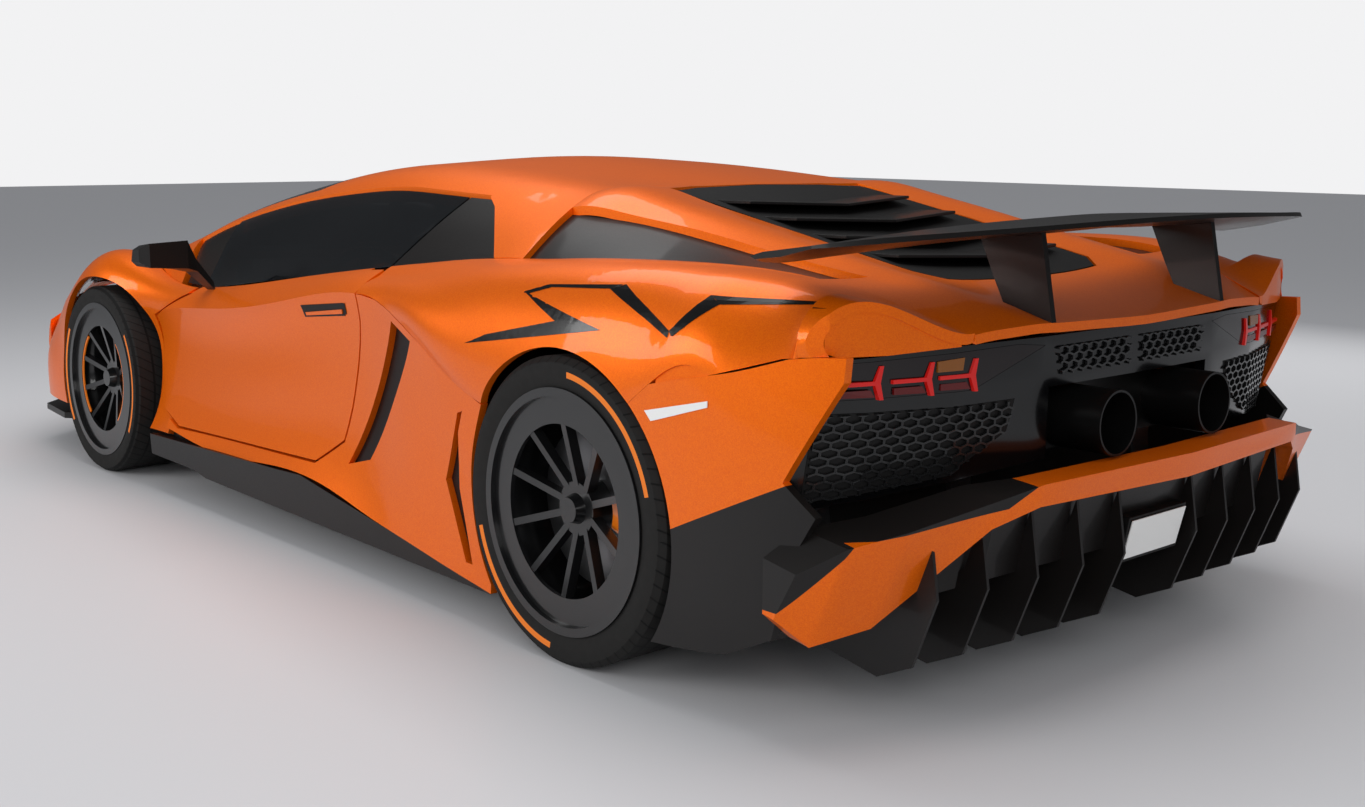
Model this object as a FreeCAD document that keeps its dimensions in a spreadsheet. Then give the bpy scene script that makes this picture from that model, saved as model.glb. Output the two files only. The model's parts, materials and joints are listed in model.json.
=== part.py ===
import FreeCAD, Part
import math
import os
import Sketcher

# Mid-engined two-seat sports car, full size.
# +X is forward, +Y is the car's left, +Z is up, and the ground is at Z = 0.
# The origin is midway between the ends of the body, on the centre line, on the ground.

doc = FreeCAD.newDocument("Supercar")
sheet = doc.addObject("Spreadsheet::Sheet", "dims")

# Driving dimensions in millimetres, angles in degrees, counts as plain numbers.
SIZES = [
    # whole car
    ("wheelbase", 2700.0),
    ("rear_overhang", 995.0),
    ("front_overhang", 1140.0),
    ("half_width", 1015.0),
    ("body_height", 1136.0),
    ("front_track", 1720.0),
    ("rear_track", 1660.0),
    # walls, gaps and clearances
    ("panel_wall", 20.0),
    ("roof_wall", 34.0),
    ("glass_wall", 6.0),
    ("door_wall", 90.0),
    ("lid_wall", 14.0),
    ("seam_gap", 0.8),
    ("moving_gap", 7.0),
    ("seal_gap", 14.0),
    ("lap_step", 14.0),
    ("running_fit", 0.08),
    ("seat_gap", 0.3),
    ("crease_seam", 1.0),
    ("overrun", 60.0),
    # tyres and wheels
    ("front_tyre_radius", 330.0),
    ("front_tyre_width", 255.0),
    ("rear_tyre_radius", 355.5),
    ("rear_tyre_width", 345.0),
    ("front_rim_radius", 271.5),
    ("rear_rim_radius", 284.0),
    ("front_rim_width", 250.0),
    ("rear_rim_width", 344.0),
    ("rim_wall", 9.0),
    ("rim_flange", 15.0),
    ("tread_round", 16.0),
    ("tread_band", 22.0),
    ("ring_width", 84.0),
    ("ring_wall", 11.0),
    ("ring_inset", 12.0),
    ("spoke_width", 17.0),
    ("spoke_depth", 26.0),
    ("spoke_count", 10.0),
    ("hub_radius", 62.0),
    ("hub_face_inset", 52.0),
    ("hub_length", 60.0),
    ("nut_radius", 36.0),
    ("nut_length", 24.0),
    ("nut_taper", 0.8),
    ("spindle_radius", 24.0),
    ("arch_gap_front", 35.0),
    ("arch_gap_rear", 20.0),
    # brakes and uprights
    ("front_disc_radius", 195.0),
    ("rear_disc_radius", 190.0),
    ("disc_wall", 36.0),
    ("disc_gap", 6.0),
    ("caliper_wall", 26.0),
    ("caliper_span", 62.0),
    ("caliper_depth", 92.0),
    ("upright_width", 90.0),
    ("upright_height", 250.0),
    ("upright_depth", 46.0),
    ("kingpin_radius", 11.0),
    ("kingpin_depth", 50.0),
    ("arm_height", 26.0),
    ("arm_width", 30.0),
    ("arm_spread", 130.0),
    ("post_height", 210.0),
    ("steer_limit", 28.0),
    # chassis
    ("ride_height", 118.0),
    ("floor_wall", 34.0),
    ("tub_half", 640.0),
    ("sill_half", 925.0),
    ("sill_top", 204.0),
    ("sill_inner_top", 330.0),
    ("bulkhead_wall", 40.0),
    ("tunnel_half", 120.0),
    ("tunnel_top", 400.0),
    ("rail_inner", 330.0),
    ("rail_width", 70.0),
    ("rail_bottom", 240.0),
    ("rail_height", 90.0),
    ("tray_wall", 6.0),
    ("rail_low", 20.0),
    ("rail_reach_front", 860.0),
    ("rail_reach_rear", 640.0),
    ("cabin_back", 640.0),
    ("cabin_front", 277.5),
    ("bulkhead_half", 440.0),
    ("bulkhead_top", 985.0),
    ("front_half", 560.0),
    ("cowl_top", 660.0),
    ("sill_front", 880.0),
    ("sill_inner_wall", 60.0),
    ("post_half", 760.0),
    ("post_back", 680.0),
    ("post_front", 750.0),
    ("post_top", 686.0),
    ("tray_half", 560.0),
    ("tray_reach_front", 420.0),
    ("tray_reach_rear", 470.0),
    # engine and cabin
    ("engine_gap", 60.0),
    ("engine_length", 760.0),
    ("engine_half", 310.0),
    ("engine_top", 720.0),
    ("gearbox_length", 340.0),
    ("gearbox_half", 150.0),
    ("gearbox_top", 480.0),
    ("seat_side", 375.0),
    ("seat_width", 470.0),
    ("seat_length", 520.0),
    ("seat_wall", 60.0),
    ("seat_pan", 150.0),
    ("seat_back", 700.0),
    ("seat_lean", 150.0),
    ("dash_height", 250.0),
    ("dash_depth", 330.0),
    ("dash_top_share", 0.8),
    ("dash_lip_share", 0.9),
    ("dash_nose_share", 0.6),
    ("dash_knee_share", 0.7),
    ("dash_low_share", 0.3),
    ("column_tilt", 20.0),
    ("column_length", 260.0),
    ("column_radius", 26.0),
    ("steer_place", 420.0),
    ("steer_height", 640.0),
    ("steer_radius", 172.0),
    ("steer_grip", 15.0),
    ("steer_hub_wall", 24.0),
    ("steer_hub_radius", 43.0),
    ("steer_bore_depth", 36.0),
    # tail and nose
    ("fin_wall", 8.0),
    ("fin_sweep", 90.0),
    ("pylon_wall", 16.0),
    ("outlet_height", 596.0),
    ("outlet_radius", 72.0),
    ("silencer_half", 345.0),
    ("hanger_width", 30.0),
    ("outlet_wall", 5.0),
    ("splitter_wall", 22.0),
    # door hinge
    ("hinge_radius", 13.0),
    ("hinge_length", 108.0),
    ("hinge_clear", 38.0),
    ("hinge_tilt", 4.0),
    ("hinge_yaw", 10.0),
    ("lid_hinge_radius", 6.0),
    ("lid_hinge_clear", 10.0),
    ("bracket_half", 9.0),
    ("cover_arm_drop", 70.0),
    ("lid_hinge_inset", 60.0),
    ("lid_hinge_gap", 16.0),
    ("lid_hinge_length", 60.0),
]

for row, (alias, value) in enumerate(SIZES, start=1):
    sheet.set("A%d" % row, alias)
    sheet.set("B%d" % row, str(value))
    sheet.setAlias("B%d" % row, alias)
doc.recompute()


class Dims:
    """The sheet's values, read once by their aliases."""


dims = Dims()
for alias, value in SIZES:
    setattr(dims, alias, float(sheet.get(alias)))

Vec = FreeCAD.Vector
REAR_END = -(dims.rear_overhang + dims.wheelbase + dims.front_overhang) / 2
REAR_AXLE = REAR_END + dims.rear_overhang
FRONT_AXLE = REAR_AXLE + dims.wheelbase
FRONT_END = FRONT_AXLE + dims.front_overhang


# Shares of length run 0 to 1 over the rear overhang, 1 to 2 over the wheelbase, 2 to 3 over the front overhang.
def at_length(share):
    if share < 1:
        return REAR_END + share * dims.rear_overhang
    if share < 2:
        return REAR_AXLE + (share - 1) * dims.wheelbase
    return FRONT_AXLE + (share - 2) * dims.front_overhang


def at_side(share):
    return share * dims.half_width


def at_height(share):
    return share * dims.body_height


def feature_line(shares):
    """A long line of the body from shares of length, half width and height, sorted along the car."""
    points = [(at_length(a), at_side(b), at_height(c)) for a, b, c in shares]
    return sorted(points)


def side_points(shares):
    return [Vec(at_length(a), 0, at_height(b)) for a, b in shares]


def plan_points(shares):
    return [Vec(at_length(a), at_side(b), 0) for a, b in shares]


def tail_points(shares):
    return [Vec(0, at_side(a), at_height(b)) for a, b in shares]


def end_slope(first, second, gap_one, gap_two):
    slope = ((2 * gap_one + gap_two) * first - gap_one * second) / (gap_one + gap_two)
    if slope * first <= 0:
        return 0.0
    if first * second < 0 and abs(slope) > 3 * abs(first):
        return 3 * first
    return slope


def smooth_value(knots, values, place):
    """Shape-keeping cubic through the knots, held flat beyond its ends."""
    if place <= knots[0]:
        return values[0]
    if place >= knots[-1]:
        return values[-1]
    gaps = [b - a for a, b in zip(knots, knots[1:])]
    rates = [(b - a) / g for a, b, g in zip(values, values[1:], gaps)]
    if len(knots) == 2:
        return values[0] + rates[0] * (place - knots[0])
    slopes = [end_slope(rates[0], rates[1], gaps[0], gaps[1])]
    for i in range(1, len(knots) - 1):
        if rates[i - 1] * rates[i] <= 0:
            slopes.append(0.0)
        else:
            one = 2 * gaps[i] + gaps[i - 1]
            two = gaps[i] + 2 * gaps[i - 1]
            slopes.append((one + two) / (one / rates[i - 1] + two / rates[i]))
    slopes.append(end_slope(rates[-1], rates[-2], gaps[-1], gaps[-2]))
    i = max(k for k in range(len(gaps)) if knots[k] <= place)
    part = (place - knots[i]) / gaps[i]
    keep = (1 + 2 * part) * (1 - part) ** 2
    grow = part * part * (3 - 2 * part)
    bend_one = part * (1 - part) ** 2 * gaps[i]
    bend_two = part * part * (part - 1) * gaps[i]
    return keep * values[i] + grow * values[i + 1] + bend_one * slopes[i] + bend_two * slopes[i + 1]


def line_at(line, place):
    """Side and height of a long line where it passes one place along the car."""
    knots = [p[0] for p in line]
    return (smooth_value(knots, [p[1] for p in line], place), smooth_value(knots, [p[2] for p in line],
                                                                           place))


def unit(a, b):
    size = math.hypot(b[0] - a[0], b[1] - a[1])
    return ((b[0] - a[0]) / size, (b[1] - a[1]) / size)


def inset(points, depth):
    """The open outline moved by depth to its right-hand side, with mitred corners."""
    moved = []
    last = len(points) - 1
    for i, point in enumerate(points):
        before = unit(points[i - 1], point) if i > 0 else unit(point, points[i + 1])
        after = unit(point, points[i + 1]) if i < last else before
        across = (before[1] + after[1], -before[0] - after[0])
        length = math.hypot(across[0], across[1])
        across = (across[0] / length, across[1] / length)
        cosine = across[0] * after[1] - across[1] * after[0]
        moved.append((point[0] + across[0] * depth / cosine, point[1] + across[1] * depth / cosine))
    return moved


def closed_wire(points):
    return Part.makePolygon(list(points) + [points[0]])


def solid_of(shape):
    """The shape as clean solids with positive volume."""
    solids = []
    for piece in shape.Solids:
        if piece.Volume < 0:
            piece.reverse()
        solids.append(piece)
    if len(solids) == 1:
        return solids[0]
    return Part.makeCompound(solids)


def places(start, end, count):
    return [start + (end - start) * i / count for i in range(count + 1)]


def skin(lines, stations, depth, mirrored=False):
    """Skin through long lines at stations along the car, from the outside in by depth."""
    wires = []
    for place in stations:
        outer = [line_at(line, place) for line in lines]
        if mirrored:
            outer = outer + [(-y, z) for y, z in reversed(outer[:-1])]
        if mirrored:
            inner = inset(outer, -depth)
        else:
            inner = inset(outer, -depth)
        ring = outer + list(reversed(inner))
        wires.append(closed_wire([Vec(place, y, z) for y, z in ring]))
    return solid_of(Part.makeLoft(wires, True, False))


def loft_across(sections, ruled=False):
    """Solid through closed sections given as lists of points."""
    return solid_of(Part.makeLoft([closed_wire(points) for points in sections], True, ruled))


def side_prism(points, start, end):
    """Outline in the side view, drawn out from one side place to another."""
    face = Part.Face(closed_wire([Vec(p.x, start, p.z) for p in points]))
    return face.extrude(Vec(0, end - start, 0))


def plan_prism(points, start, end):
    face = Part.Face(closed_wire([Vec(p.x, p.y, start) for p in points]))
    return face.extrude(Vec(0, 0, end - start))


def tail_prism(points, start, end):
    face = Part.Face(closed_wire([Vec(start, p.y, p.z) for p in points]))
    return face.extrude(Vec(end - start, 0, 0))


def grown(points, amount):
    """The closed outline moved outwards by amount, or inwards where amount is negative."""
    wire = closed_wire(points)
    moved = wire.makeOffset2D(amount, 2)
    return [v.Point for v in moved.OrderedVertexes]


def grown_side(points, amount):
    """A side outline moved outwards by amount, or inwards where amount is negative."""
    flat = [Vec(p.x, p.z, 0) for p in points]
    return [Vec(p.x, 0, p.y) for p in grown(flat, amount)]


def shrink_tail(points, amount):
    """A tail-view outline moved inwards by amount."""
    flat = [Vec(p.y, p.z, 0) for p in points]
    return [Vec(0, p.x, p.y) for p in grown(flat, -amount)]


def box(x0, x1, y0, y1, z0, z1):
    low = Vec(min(x0, x1), min(y0, y1), min(z0, z1))
    return Part.makeBox(abs(x1 - x0), abs(y1 - y0), abs(z1 - z0), low)


def rod(radius, start, end):
    way = end - start
    return Part.makeCylinder(radius, way.Length, start, way)


def flip(shape):
    """The same piece on the car's other side."""
    return shape.mirror(Vec(0, 0, 0), Vec(0, 1, 0))


def both(shape):
    return Part.makeCompound([shape, flip(shape)])


def fuse(shapes):
    first = shapes[0]
    for other in shapes[1:]:
        first = first.fuse(other)
    return solid_of(first.removeSplitter())


def cut(shape, tools):
    for tool in tools:
        shape = shape.cut(tool)
    return solid_of(shape)


def keep(shape, tool):
    return solid_of(shape.common(tool))


SUBPARTS = []


def add_shape(name, shape):
    """A sub-part whose shape is worked out above, placed in the car's own frame."""
    piece = doc.addObject("Part::Feature", name)
    piece.Label = name
    place = shape.Placement
    piece.Shape = shape
    piece.Placement = place
    SUBPARTS.append(piece)
    return piece


# Long lines of the body, each as shares of length, half width and body height.
SILL_SHARES = [(1.912, 0.936, 0.173), (1.749, 0.941, 0.180), (1.527, 0.948, 0.195), (1.474, 0.951, 0.202),
               (1.305, 0.961, 0.146), (1.108, 0.970, 0.084)]
TUCK_SHARES = [(1.912, 0.916, 0.255), (1.749, 0.911, 0.264), (1.527, 0.916, 0.282), (1.362, 0.918, 0.304),
               (1.268, 0.941, 0.290), (1.108, 0.971, 0.264)]
HOLLOW_SHARES = [(1.912, 0.899, 0.370), (1.749, 0.892, 0.370), (1.527, 0.899, 0.414),
                 (1.362, 0.906, 0.431),
                 (1.268, 0.936, 0.414), (1.108, 0.975, 0.370)]
UNDER_WAIST_SHARES = [(1.912, 0.880, 0.458), (1.749, 0.883, 0.497), (1.527, 0.897, 0.568),
                      (1.362, 0.914, 0.607),
                      (1.290, 0.934, 0.581), (1.238, 0.948, 0.528), (1.108, 0.975, 0.431)]
WAIST_SHARES = [(1.912, 0.892, 0.509), (1.749, 0.901, 0.560), (1.527, 0.918, 0.627),
                (1.362, 0.931, 0.678),
                (1.319, 0.938, 0.671), (1.290, 0.946, 0.652), (1.238, 0.958, 0.602),
                (1.136, 0.975, 0.505),
                (1.108, 0.979, 0.486)]
SHOULDER_SHARES = [(1.912, 0.871, 0.574), (1.749, 0.873, 0.592), (1.527, 0.882, 0.660),
                   (1.362, 0.883, 0.710)]
BELT_SHARES = [(2.011, 0.768, 0.660), (1.953, 0.794, 0.653), (1.897, 0.818, 0.616), (1.823, 0.833, 0.595),
               (1.749, 0.837, 0.618), (1.638, 0.839, 0.653), (1.527, 0.837, 0.687), (1.453, 0.833, 0.710),
               (1.388, 0.824, 0.731), (1.305, 0.806, 0.755), (1.231, 0.793, 0.775), (1.153, 0.784, 0.788),
               (1.082, 0.774, 0.796), (1.000, 0.757, 0.807), (0.721, 0.724, 0.812), (0.520, 0.690, 0.801),
               (0.319, 0.631, 0.759), (0.219, 0.591, 0.727), (0.118, 0.552, 0.704)]
PANE_SHARES = [(2.011, 0.709, 0.666), (1.953, 0.783, 0.662), (1.897, 0.791, 0.662), (1.823, 0.793, 0.679),
               (1.749, 0.783, 0.719), (1.638, 0.764, 0.766), (1.527, 0.749, 0.799), (1.453, 0.741, 0.814),
               (1.388, 0.734, 0.823), (1.305, 0.724, 0.832), (1.231, 0.714, 0.841), (1.153, 0.707, 0.847),
               (1.082, 0.698, 0.849), (1.000, 0.680, 0.838), (0.721, 0.650, 0.819), (0.520, 0.611, 0.797),
               (0.319, 0.552, 0.762), (0.219, 0.522, 0.734), (0.118, 0.493, 0.710)]
RAIL_SHARES = [(2.011, 0.650, 0.666), (1.953, 0.771, 0.669), (1.897, 0.765, 0.704), (1.823, 0.746, 0.761),
               (1.749, 0.726, 0.810), (1.638, 0.682, 0.867), (1.527, 0.647, 0.901), (1.453, 0.635, 0.913),
               (1.388, 0.633, 0.911), (1.305, 0.633, 0.905), (1.231, 0.631, 0.900), (1.153, 0.627, 0.898),
               (1.082, 0.611, 0.891), (1.000, 0.591, 0.867), (0.721, 0.567, 0.826), (0.520, 0.537, 0.797),
               (0.319, 0.483, 0.766), (0.219, 0.453, 0.739), (0.118, 0.433, 0.714)]
RIDGE_SHARES = [(2.011, 0.552, 0.665), (1.953, 0.690, 0.695), (1.897, 0.690, 0.738),
                (1.823, 0.670, 0.798),
                (1.749, 0.652, 0.848), (1.638, 0.606, 0.908), (1.527, 0.581, 0.944),
                (1.453, 0.571, 0.954),
                (1.388, 0.569, 0.952), (1.305, 0.567, 0.945), (1.231, 0.562, 0.937),
                (1.153, 0.554, 0.930),
                (1.082, 0.542, 0.919), (1.000, 0.517, 0.886), (0.721, 0.488, 0.838),
                (0.520, 0.463, 0.805),
                (0.319, 0.424, 0.769), (0.219, 0.404, 0.742), (0.118, 0.394, 0.716)]
BROW_SHARES = [(2.011, 0.296, 0.662), (1.953, 0.394, 0.704), (1.897, 0.394, 0.754), (1.823, 0.394, 0.819),
               (1.749, 0.394, 0.873), (1.638, 0.394, 0.940), (1.527, 0.394, 0.975), (1.453, 0.394, 0.985),
               (1.388, 0.394, 0.983), (1.305, 0.394, 0.972), (1.231, 0.394, 0.958), (1.153, 0.394, 0.942),
               (1.082, 0.384, 0.919), (1.000, 0.379, 0.880), (0.721, 0.374, 0.831), (0.520, 0.369, 0.796),
               (0.319, 0.355, 0.762), (0.219, 0.345, 0.739), (0.118, 0.335, 0.717)]
CREST_SHARES = [(2.011, 0.000, 0.660), (1.953, 0.000, 0.707), (1.897, 0.000, 0.759),
                (1.823, 0.000, 0.825),
                (1.749, 0.000, 0.880), (1.638, 0.000, 0.952), (1.527, 0.000, 0.990),
                (1.453, 0.000, 1.000),
                (1.388, 0.000, 0.998), (1.305, 0.000, 0.984), (1.231, 0.000, 0.967),
                (1.153, 0.000, 0.945),
                (1.082, 0.000, 0.915), (1.000, 0.000, 0.871), (0.721, 0.000, 0.817),
                (0.520, 0.000, 0.782),
                (0.319, 0.000, 0.746), (0.219, 0.000, 0.729), (0.118, 0.000, 0.711)]
# Front wing lines.
FRONT_SILL_SHARES = [(1.786, 0.938, 0.179), (1.912, 0.936, 0.173), (2.000, 0.970, 0.173),
                     (2.371, 0.954, 0.173), (2.634, 0.877, 0.173)]
FRONT_TUCK_SHARES = [(1.786, 0.911, 0.264), (1.912, 0.916, 0.255), (2.000, 0.975, 0.264),
                     (2.371, 0.956, 0.264), (2.634, 0.877, 0.264)]
FRONT_HOLLOW_SHARES = [(1.786, 0.893, 0.370), (1.912, 0.904, 0.370), (2.000, 0.985, 0.396),
                       (2.371, 0.951, 0.352),
                       (2.634, 0.867, 0.335)]
FRONT_UNDER_SHARES = [(1.786, 0.883, 0.489), (1.897, 0.892, 0.467), (2.000, 0.988, 0.493),
                      (2.195, 0.983, 0.480),
                      (2.371, 0.941, 0.440), (2.634, 0.842, 0.387)]
FRONT_WAIST_SHARES = [(1.786, 0.898, 0.548), (1.890, 0.895, 0.518), (1.934, 0.944, 0.539),
                      (2.000, 0.985, 0.572),
                      (2.195, 0.967, 0.555), (2.371, 0.916, 0.511), (2.634, 0.798, 0.449)]
FRONT_SHOULDER_SHARES = [(1.786, 0.869, 0.592), (1.897, 0.879, 0.607), (1.953, 0.906, 0.656),
                         (2.000, 0.911, 0.673),
                         (2.195, 0.877, 0.650), (2.371, 0.818, 0.599), (2.634, 0.700, 0.519)]
FRONT_INNER_SHARES = [(1.786, 0.833, 0.607), (1.823, 0.830, 0.597), (1.897, 0.814, 0.620),
                      (1.953, 0.788, 0.658),
                      (2.011, 0.759, 0.666), (2.195, 0.695, 0.650), (2.371, 0.631, 0.606),
                      (2.634, 0.537, 0.533),
                      (2.853, 0.443, 0.474)]
# Rear wing lines above the crease.
REAR_FLARE_SHARES = [(1.362, 0.887, 0.707), (1.290, 0.926, 0.704), (1.238, 0.954, 0.692),
                     (1.136, 0.970, 0.680),
                     (1.045, 0.975, 0.682), (0.822, 0.975, 0.687), (0.683, 0.967, 0.700),
                     (0.520, 0.944, 0.720),
                     (0.319, 0.916, 0.738), (0.118, 0.867, 0.764)]
REAR_CREASE_SHARES = [(1.362, 0.931, 0.678), (1.319, 0.938, 0.671), (1.290, 0.946, 0.652),
                      (1.238, 0.958, 0.602),
                      (1.136, 0.977, 0.505), (1.045, 0.989, 0.475), (0.862, 0.991, 0.493),
                      (0.683, 0.988, 0.607),
                      (0.520, 0.970, 0.637), (0.319, 0.921, 0.685), (0.118, 0.857, 0.694)]
REAR_CROWN_SHARES = [(1.362, 0.853, 0.720), (1.290, 0.867, 0.733), (1.238, 0.877, 0.744),
                     (1.136, 0.895, 0.768),
                     (1.000, 0.892, 0.794), (0.721, 0.880, 0.803), (0.520, 0.859, 0.790),
                     (0.319, 0.859, 0.783),
                     (0.219, 0.847, 0.778), (0.118, 0.833, 0.773)]
REAR_SHELF_SHARES = [(1.362, 0.837, 0.730), (1.290, 0.837, 0.749), (1.238, 0.837, 0.762),
                     (1.136, 0.840, 0.785),
                     (1.000, 0.826, 0.811), (0.721, 0.803, 0.817), (0.520, 0.778, 0.805),
                     (0.319, 0.759, 0.780),
                     (0.118, 0.709, 0.745)]
# Rear wing lines below the crease, behind the wheel.
REAR_LOW_SHARES = [(0.822, 0.970, 0.106), (0.621, 0.961, 0.114), (0.420, 0.946, 0.141),
                   (0.219, 0.916, 0.180)]
REAR_MID_SHARES = [(0.822, 0.985, 0.352), (0.621, 0.980, 0.352), (0.420, 0.961, 0.379),
                   (0.219, 0.916, 0.458)]

# Front lid lines.
LID_EDGE_SHARES = [(2.011, 0.591, 0.666), (2.195, 0.552, 0.645), (2.371, 0.493, 0.601),
                   (2.634, 0.414, 0.532), (2.853, 0.355, 0.467)]
LID_CREASE_SHARES = [(2.011, 0.296, 0.662), (2.195, 0.286, 0.632), (2.371, 0.266, 0.583),
                     (2.634, 0.236, 0.516), (2.853, 0.197, 0.458)]
LID_CREST_SHARES = [(2.011, 0.000, 0.660), (2.195, 0.000, 0.630), (2.371, 0.000, 0.581),
                    (2.634, 0.000, 0.514), (2.853, 0.000, 0.456)]

sill_line = feature_line(SILL_SHARES)
tuck_line = feature_line(TUCK_SHARES)
hollow_line = feature_line(HOLLOW_SHARES)
under_waist_line = feature_line(UNDER_WAIST_SHARES)
waist_line = feature_line(WAIST_SHARES)
shoulder_line = feature_line(SHOULDER_SHARES)
belt_line = feature_line(BELT_SHARES)
pane_line = feature_line(PANE_SHARES)
rail_line = feature_line(RAIL_SHARES)
ridge_line = feature_line(RIDGE_SHARES)
brow_line = feature_line(BROW_SHARES)
crest_line = feature_line(CREST_SHARES)
side_lines = [sill_line, tuck_line, hollow_line, under_waist_line, waist_line]
door_lines = side_lines + [shoulder_line, belt_line]
top_lines = [belt_line, pane_line, rail_line, ridge_line, brow_line, crest_line]
front_lines = [feature_line(s) for s in (FRONT_SILL_SHARES, FRONT_TUCK_SHARES, FRONT_HOLLOW_SHARES,
                                         FRONT_UNDER_SHARES, FRONT_WAIST_SHARES, FRONT_SHOULDER_SHARES,
                                         FRONT_INNER_SHARES)]
front_inner_line = front_lines[-1]
rear_crease_line = feature_line(REAR_CREASE_SHARES)
quarter_lines = [rear_crease_line, feature_line(REAR_FLARE_SHARES), feature_line(REAR_CROWN_SHARES),
                feature_line(REAR_SHELF_SHARES), belt_line]
tail_side_lines = [feature_line(REAR_LOW_SHARES), feature_line(REAR_MID_SHARES), rear_crease_line]

# Outlines in the side view.
HINGE_SHARES = (1.792, 0.585)
DOOR_OUTLINE_SHARES = [(1.792, 0.202), (1.842, 0.236), (1.871, 0.431), (1.887, 0.513), (1.801, 0.595),
                       (1.794, 0.611), (1.787, 0.621), (1.787, 1.144), (1.362, 1.144), (1.362, 0.679),
                       (1.364, 0.609),
                       (1.386, 0.393), (1.398, 0.302), (1.449, 0.232)]
DOOR_PANE_SHARES = [(1.368, 0.616), (1.362, 0.739), (1.314, 0.933), (1.314, 1.144), (1.764, 1.144),
                    (1.764, 0.797),
                    (1.792, 0.607)]
FIXED_FRONT_SHARES = [(1.858, 0.607), (1.858, 1.144), (1.764, 1.144), (1.764, 0.797), (1.792, 0.607)]
FIXED_BACK_SHARES = [(1.368, 0.616), (1.362, 0.739), (1.314, 0.933), (1.314, 1.144), (1.156, 1.144),
                     (1.156, 0.616)]
CORNER_SHARES = [1.334, 1.391, 0.607, 0.839]
SIDE_PANE_SHARES = [(1.749, 0.528), (1.388, 0.616), (1.179, 0.757),
                    (1.268, 0.889), (1.290, 0.910), (1.290, 1.144), (1.862, 1.144), (1.862, 0.528)]
SLAT_SHARES = [(1.289, 0.629), (1.249, 0.592), (1.342, 0.280), (1.384, 0.254)]
WEDGE_SHARES = [(1.162, 0.458), (1.153, 0.465), (1.162, 0.414), (1.162, 0.290), (1.138, 0.132),
                (1.149, 0.132), (1.188, 0.299)]

# Outlines in plan.
WINDSCREEN_SHARES = [(1.996, 0.000), (1.994, 0.246), (1.985, 0.443), (1.966, 0.611), (1.944, 0.711),
                     (1.897, 0.716), (1.823, 0.696), (1.749, 0.676), (1.638, 0.625), (1.610, 0.552),
                     (1.624, 0.000)]
ENGINE_COVER_SHARES = [(1.145, 0.000), (1.142, 0.246), (1.125, 0.367), (0.922, 0.367), (0.520, 0.347),
                       (0.460, 0.296), (0.445, 0.000)]
FRONT_LID_SHARES = [(2.020, 0.000), (2.016, 0.246), (2.011, 0.512), (2.011, 0.734), (2.195, 0.676),
                    (2.371, 0.613),
                    (2.590, 0.512), (2.739, 0.394), (2.800, 0.197), (2.814, 0.000)]
HEADLAMP_SHARES = [(2.600, 0.788), (2.600, 0.591), (2.371, 0.680), (2.318, 0.778), (2.423, 0.837)]
HEADLAMP_FLOOR_SHARE = 0.440
DECK_BACK_SHARES = [(0.128, 0.000), (0.134, 0.325), (0.168, 0.591), (0.219, 0.768), (0.269, 0.887),
                    (0.359, 0.985)]


def closed_half(shares):
    """Plan outline made symmetric from its left half, given from the centre line outwards and back."""
    left = plan_points(shares)
    right = [Vec(p.x, -p.y, p.z) for p in reversed(left) if p.y > 0]
    return left + right


def line_edge(line, start, end, shift):
    """Plan edge along a body line between two places, moved outwards by shift."""
    points = [Vec(place, line_at(line, place)[0] + shift, 0) for place in knots_of(line, start, end)]
    curve = Part.BSplineCurve()
    curve.interpolate(points)
    return curve.toShape(), points[0], points[-1]


def knots_of(line, start, end):
    """The line's own stations between two places, with both ends."""
    low, high = min(start, end), max(start, end)
    inner = [p[0] for p in line if low + dims.panel_wall < p[0] < high - dims.panel_wall]
    return [low] + inner + [high]


def drawn_up(edges, low, high):
    """Closed plan outline made of edges, drawn upwards between two heights."""
    face = Part.Face(Part.Wire(edges))
    face.translate(Vec(0, 0, low))
    return face.extrude(Vec(0, 0, high - low))


def straight(a, b):
    return Part.LineSegment(a, b).toShape()


HIGH = dims.body_height + dims.overrun
WIDE = dims.half_width + dims.overrun
half_seam = dims.seam_gap / 2
MIDWAY = dims.half_width / 2
BELT_FRONT = belt_line[-1][0]
BELT_BACK = belt_line[0][0]


def inside_line(line, start, end, shift):
    """Everything between a body line and its mirror image, seen in plan."""
    left, left_back, left_front = line_edge(line, start, end, shift)
    right = left.mirror(Vec(0, 0, 0), Vec(0, 1, 0))
    right_back = Vec(left_back.x, -left_back.y, 0)
    right_front = Vec(left_front.x, -left_front.y, 0)
    edges = [left, straight(left_front, right_front), right, straight(right_back, left_back)]
    return drawn_up(Part.__sortEdges__(edges), 0, HIGH)


def outside_line(line, start, end, shift):
    """Left region outboard of a body line, seen in plan."""
    left, back, front = line_edge(line, start, end, shift)
    far_back, far_front = Vec(back.x, WIDE, 0), Vec(front.x, WIDE, 0)
    edges = [left, straight(front, far_front), straight(far_front, far_back), straight(far_back, back)]
    return drawn_up(Part.__sortEdges__(edges), 0, HIGH)


front_arch = rod(dims.front_tyre_radius + dims.arch_gap_front,
                 Vec(FRONT_AXLE, -WIDE, dims.front_tyre_radius),
                 Vec(FRONT_AXLE, WIDE, dims.front_tyre_radius))
rear_arch = rod(dims.rear_tyre_radius + dims.arch_gap_rear, Vec(REAR_AXLE, -WIDE, dims.rear_tyre_radius),
                Vec(REAR_AXLE, WIDE, dims.rear_tyre_radius))


def segment_edges(points, breaks):
    """Edges through the points, straight between breaks that are neighbours and curved elsewhere."""
    edges = []
    for a, b in zip(breaks, breaks[1:]):
        if b - a == 1:
            edges.append(Part.LineSegment(points[a], points[b]).toShape())
        else:
            curve = Part.BSplineCurve()
            curve.interpolate(points[a:b + 1])
            edges.append(curve.toShape())
    return edges


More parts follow.
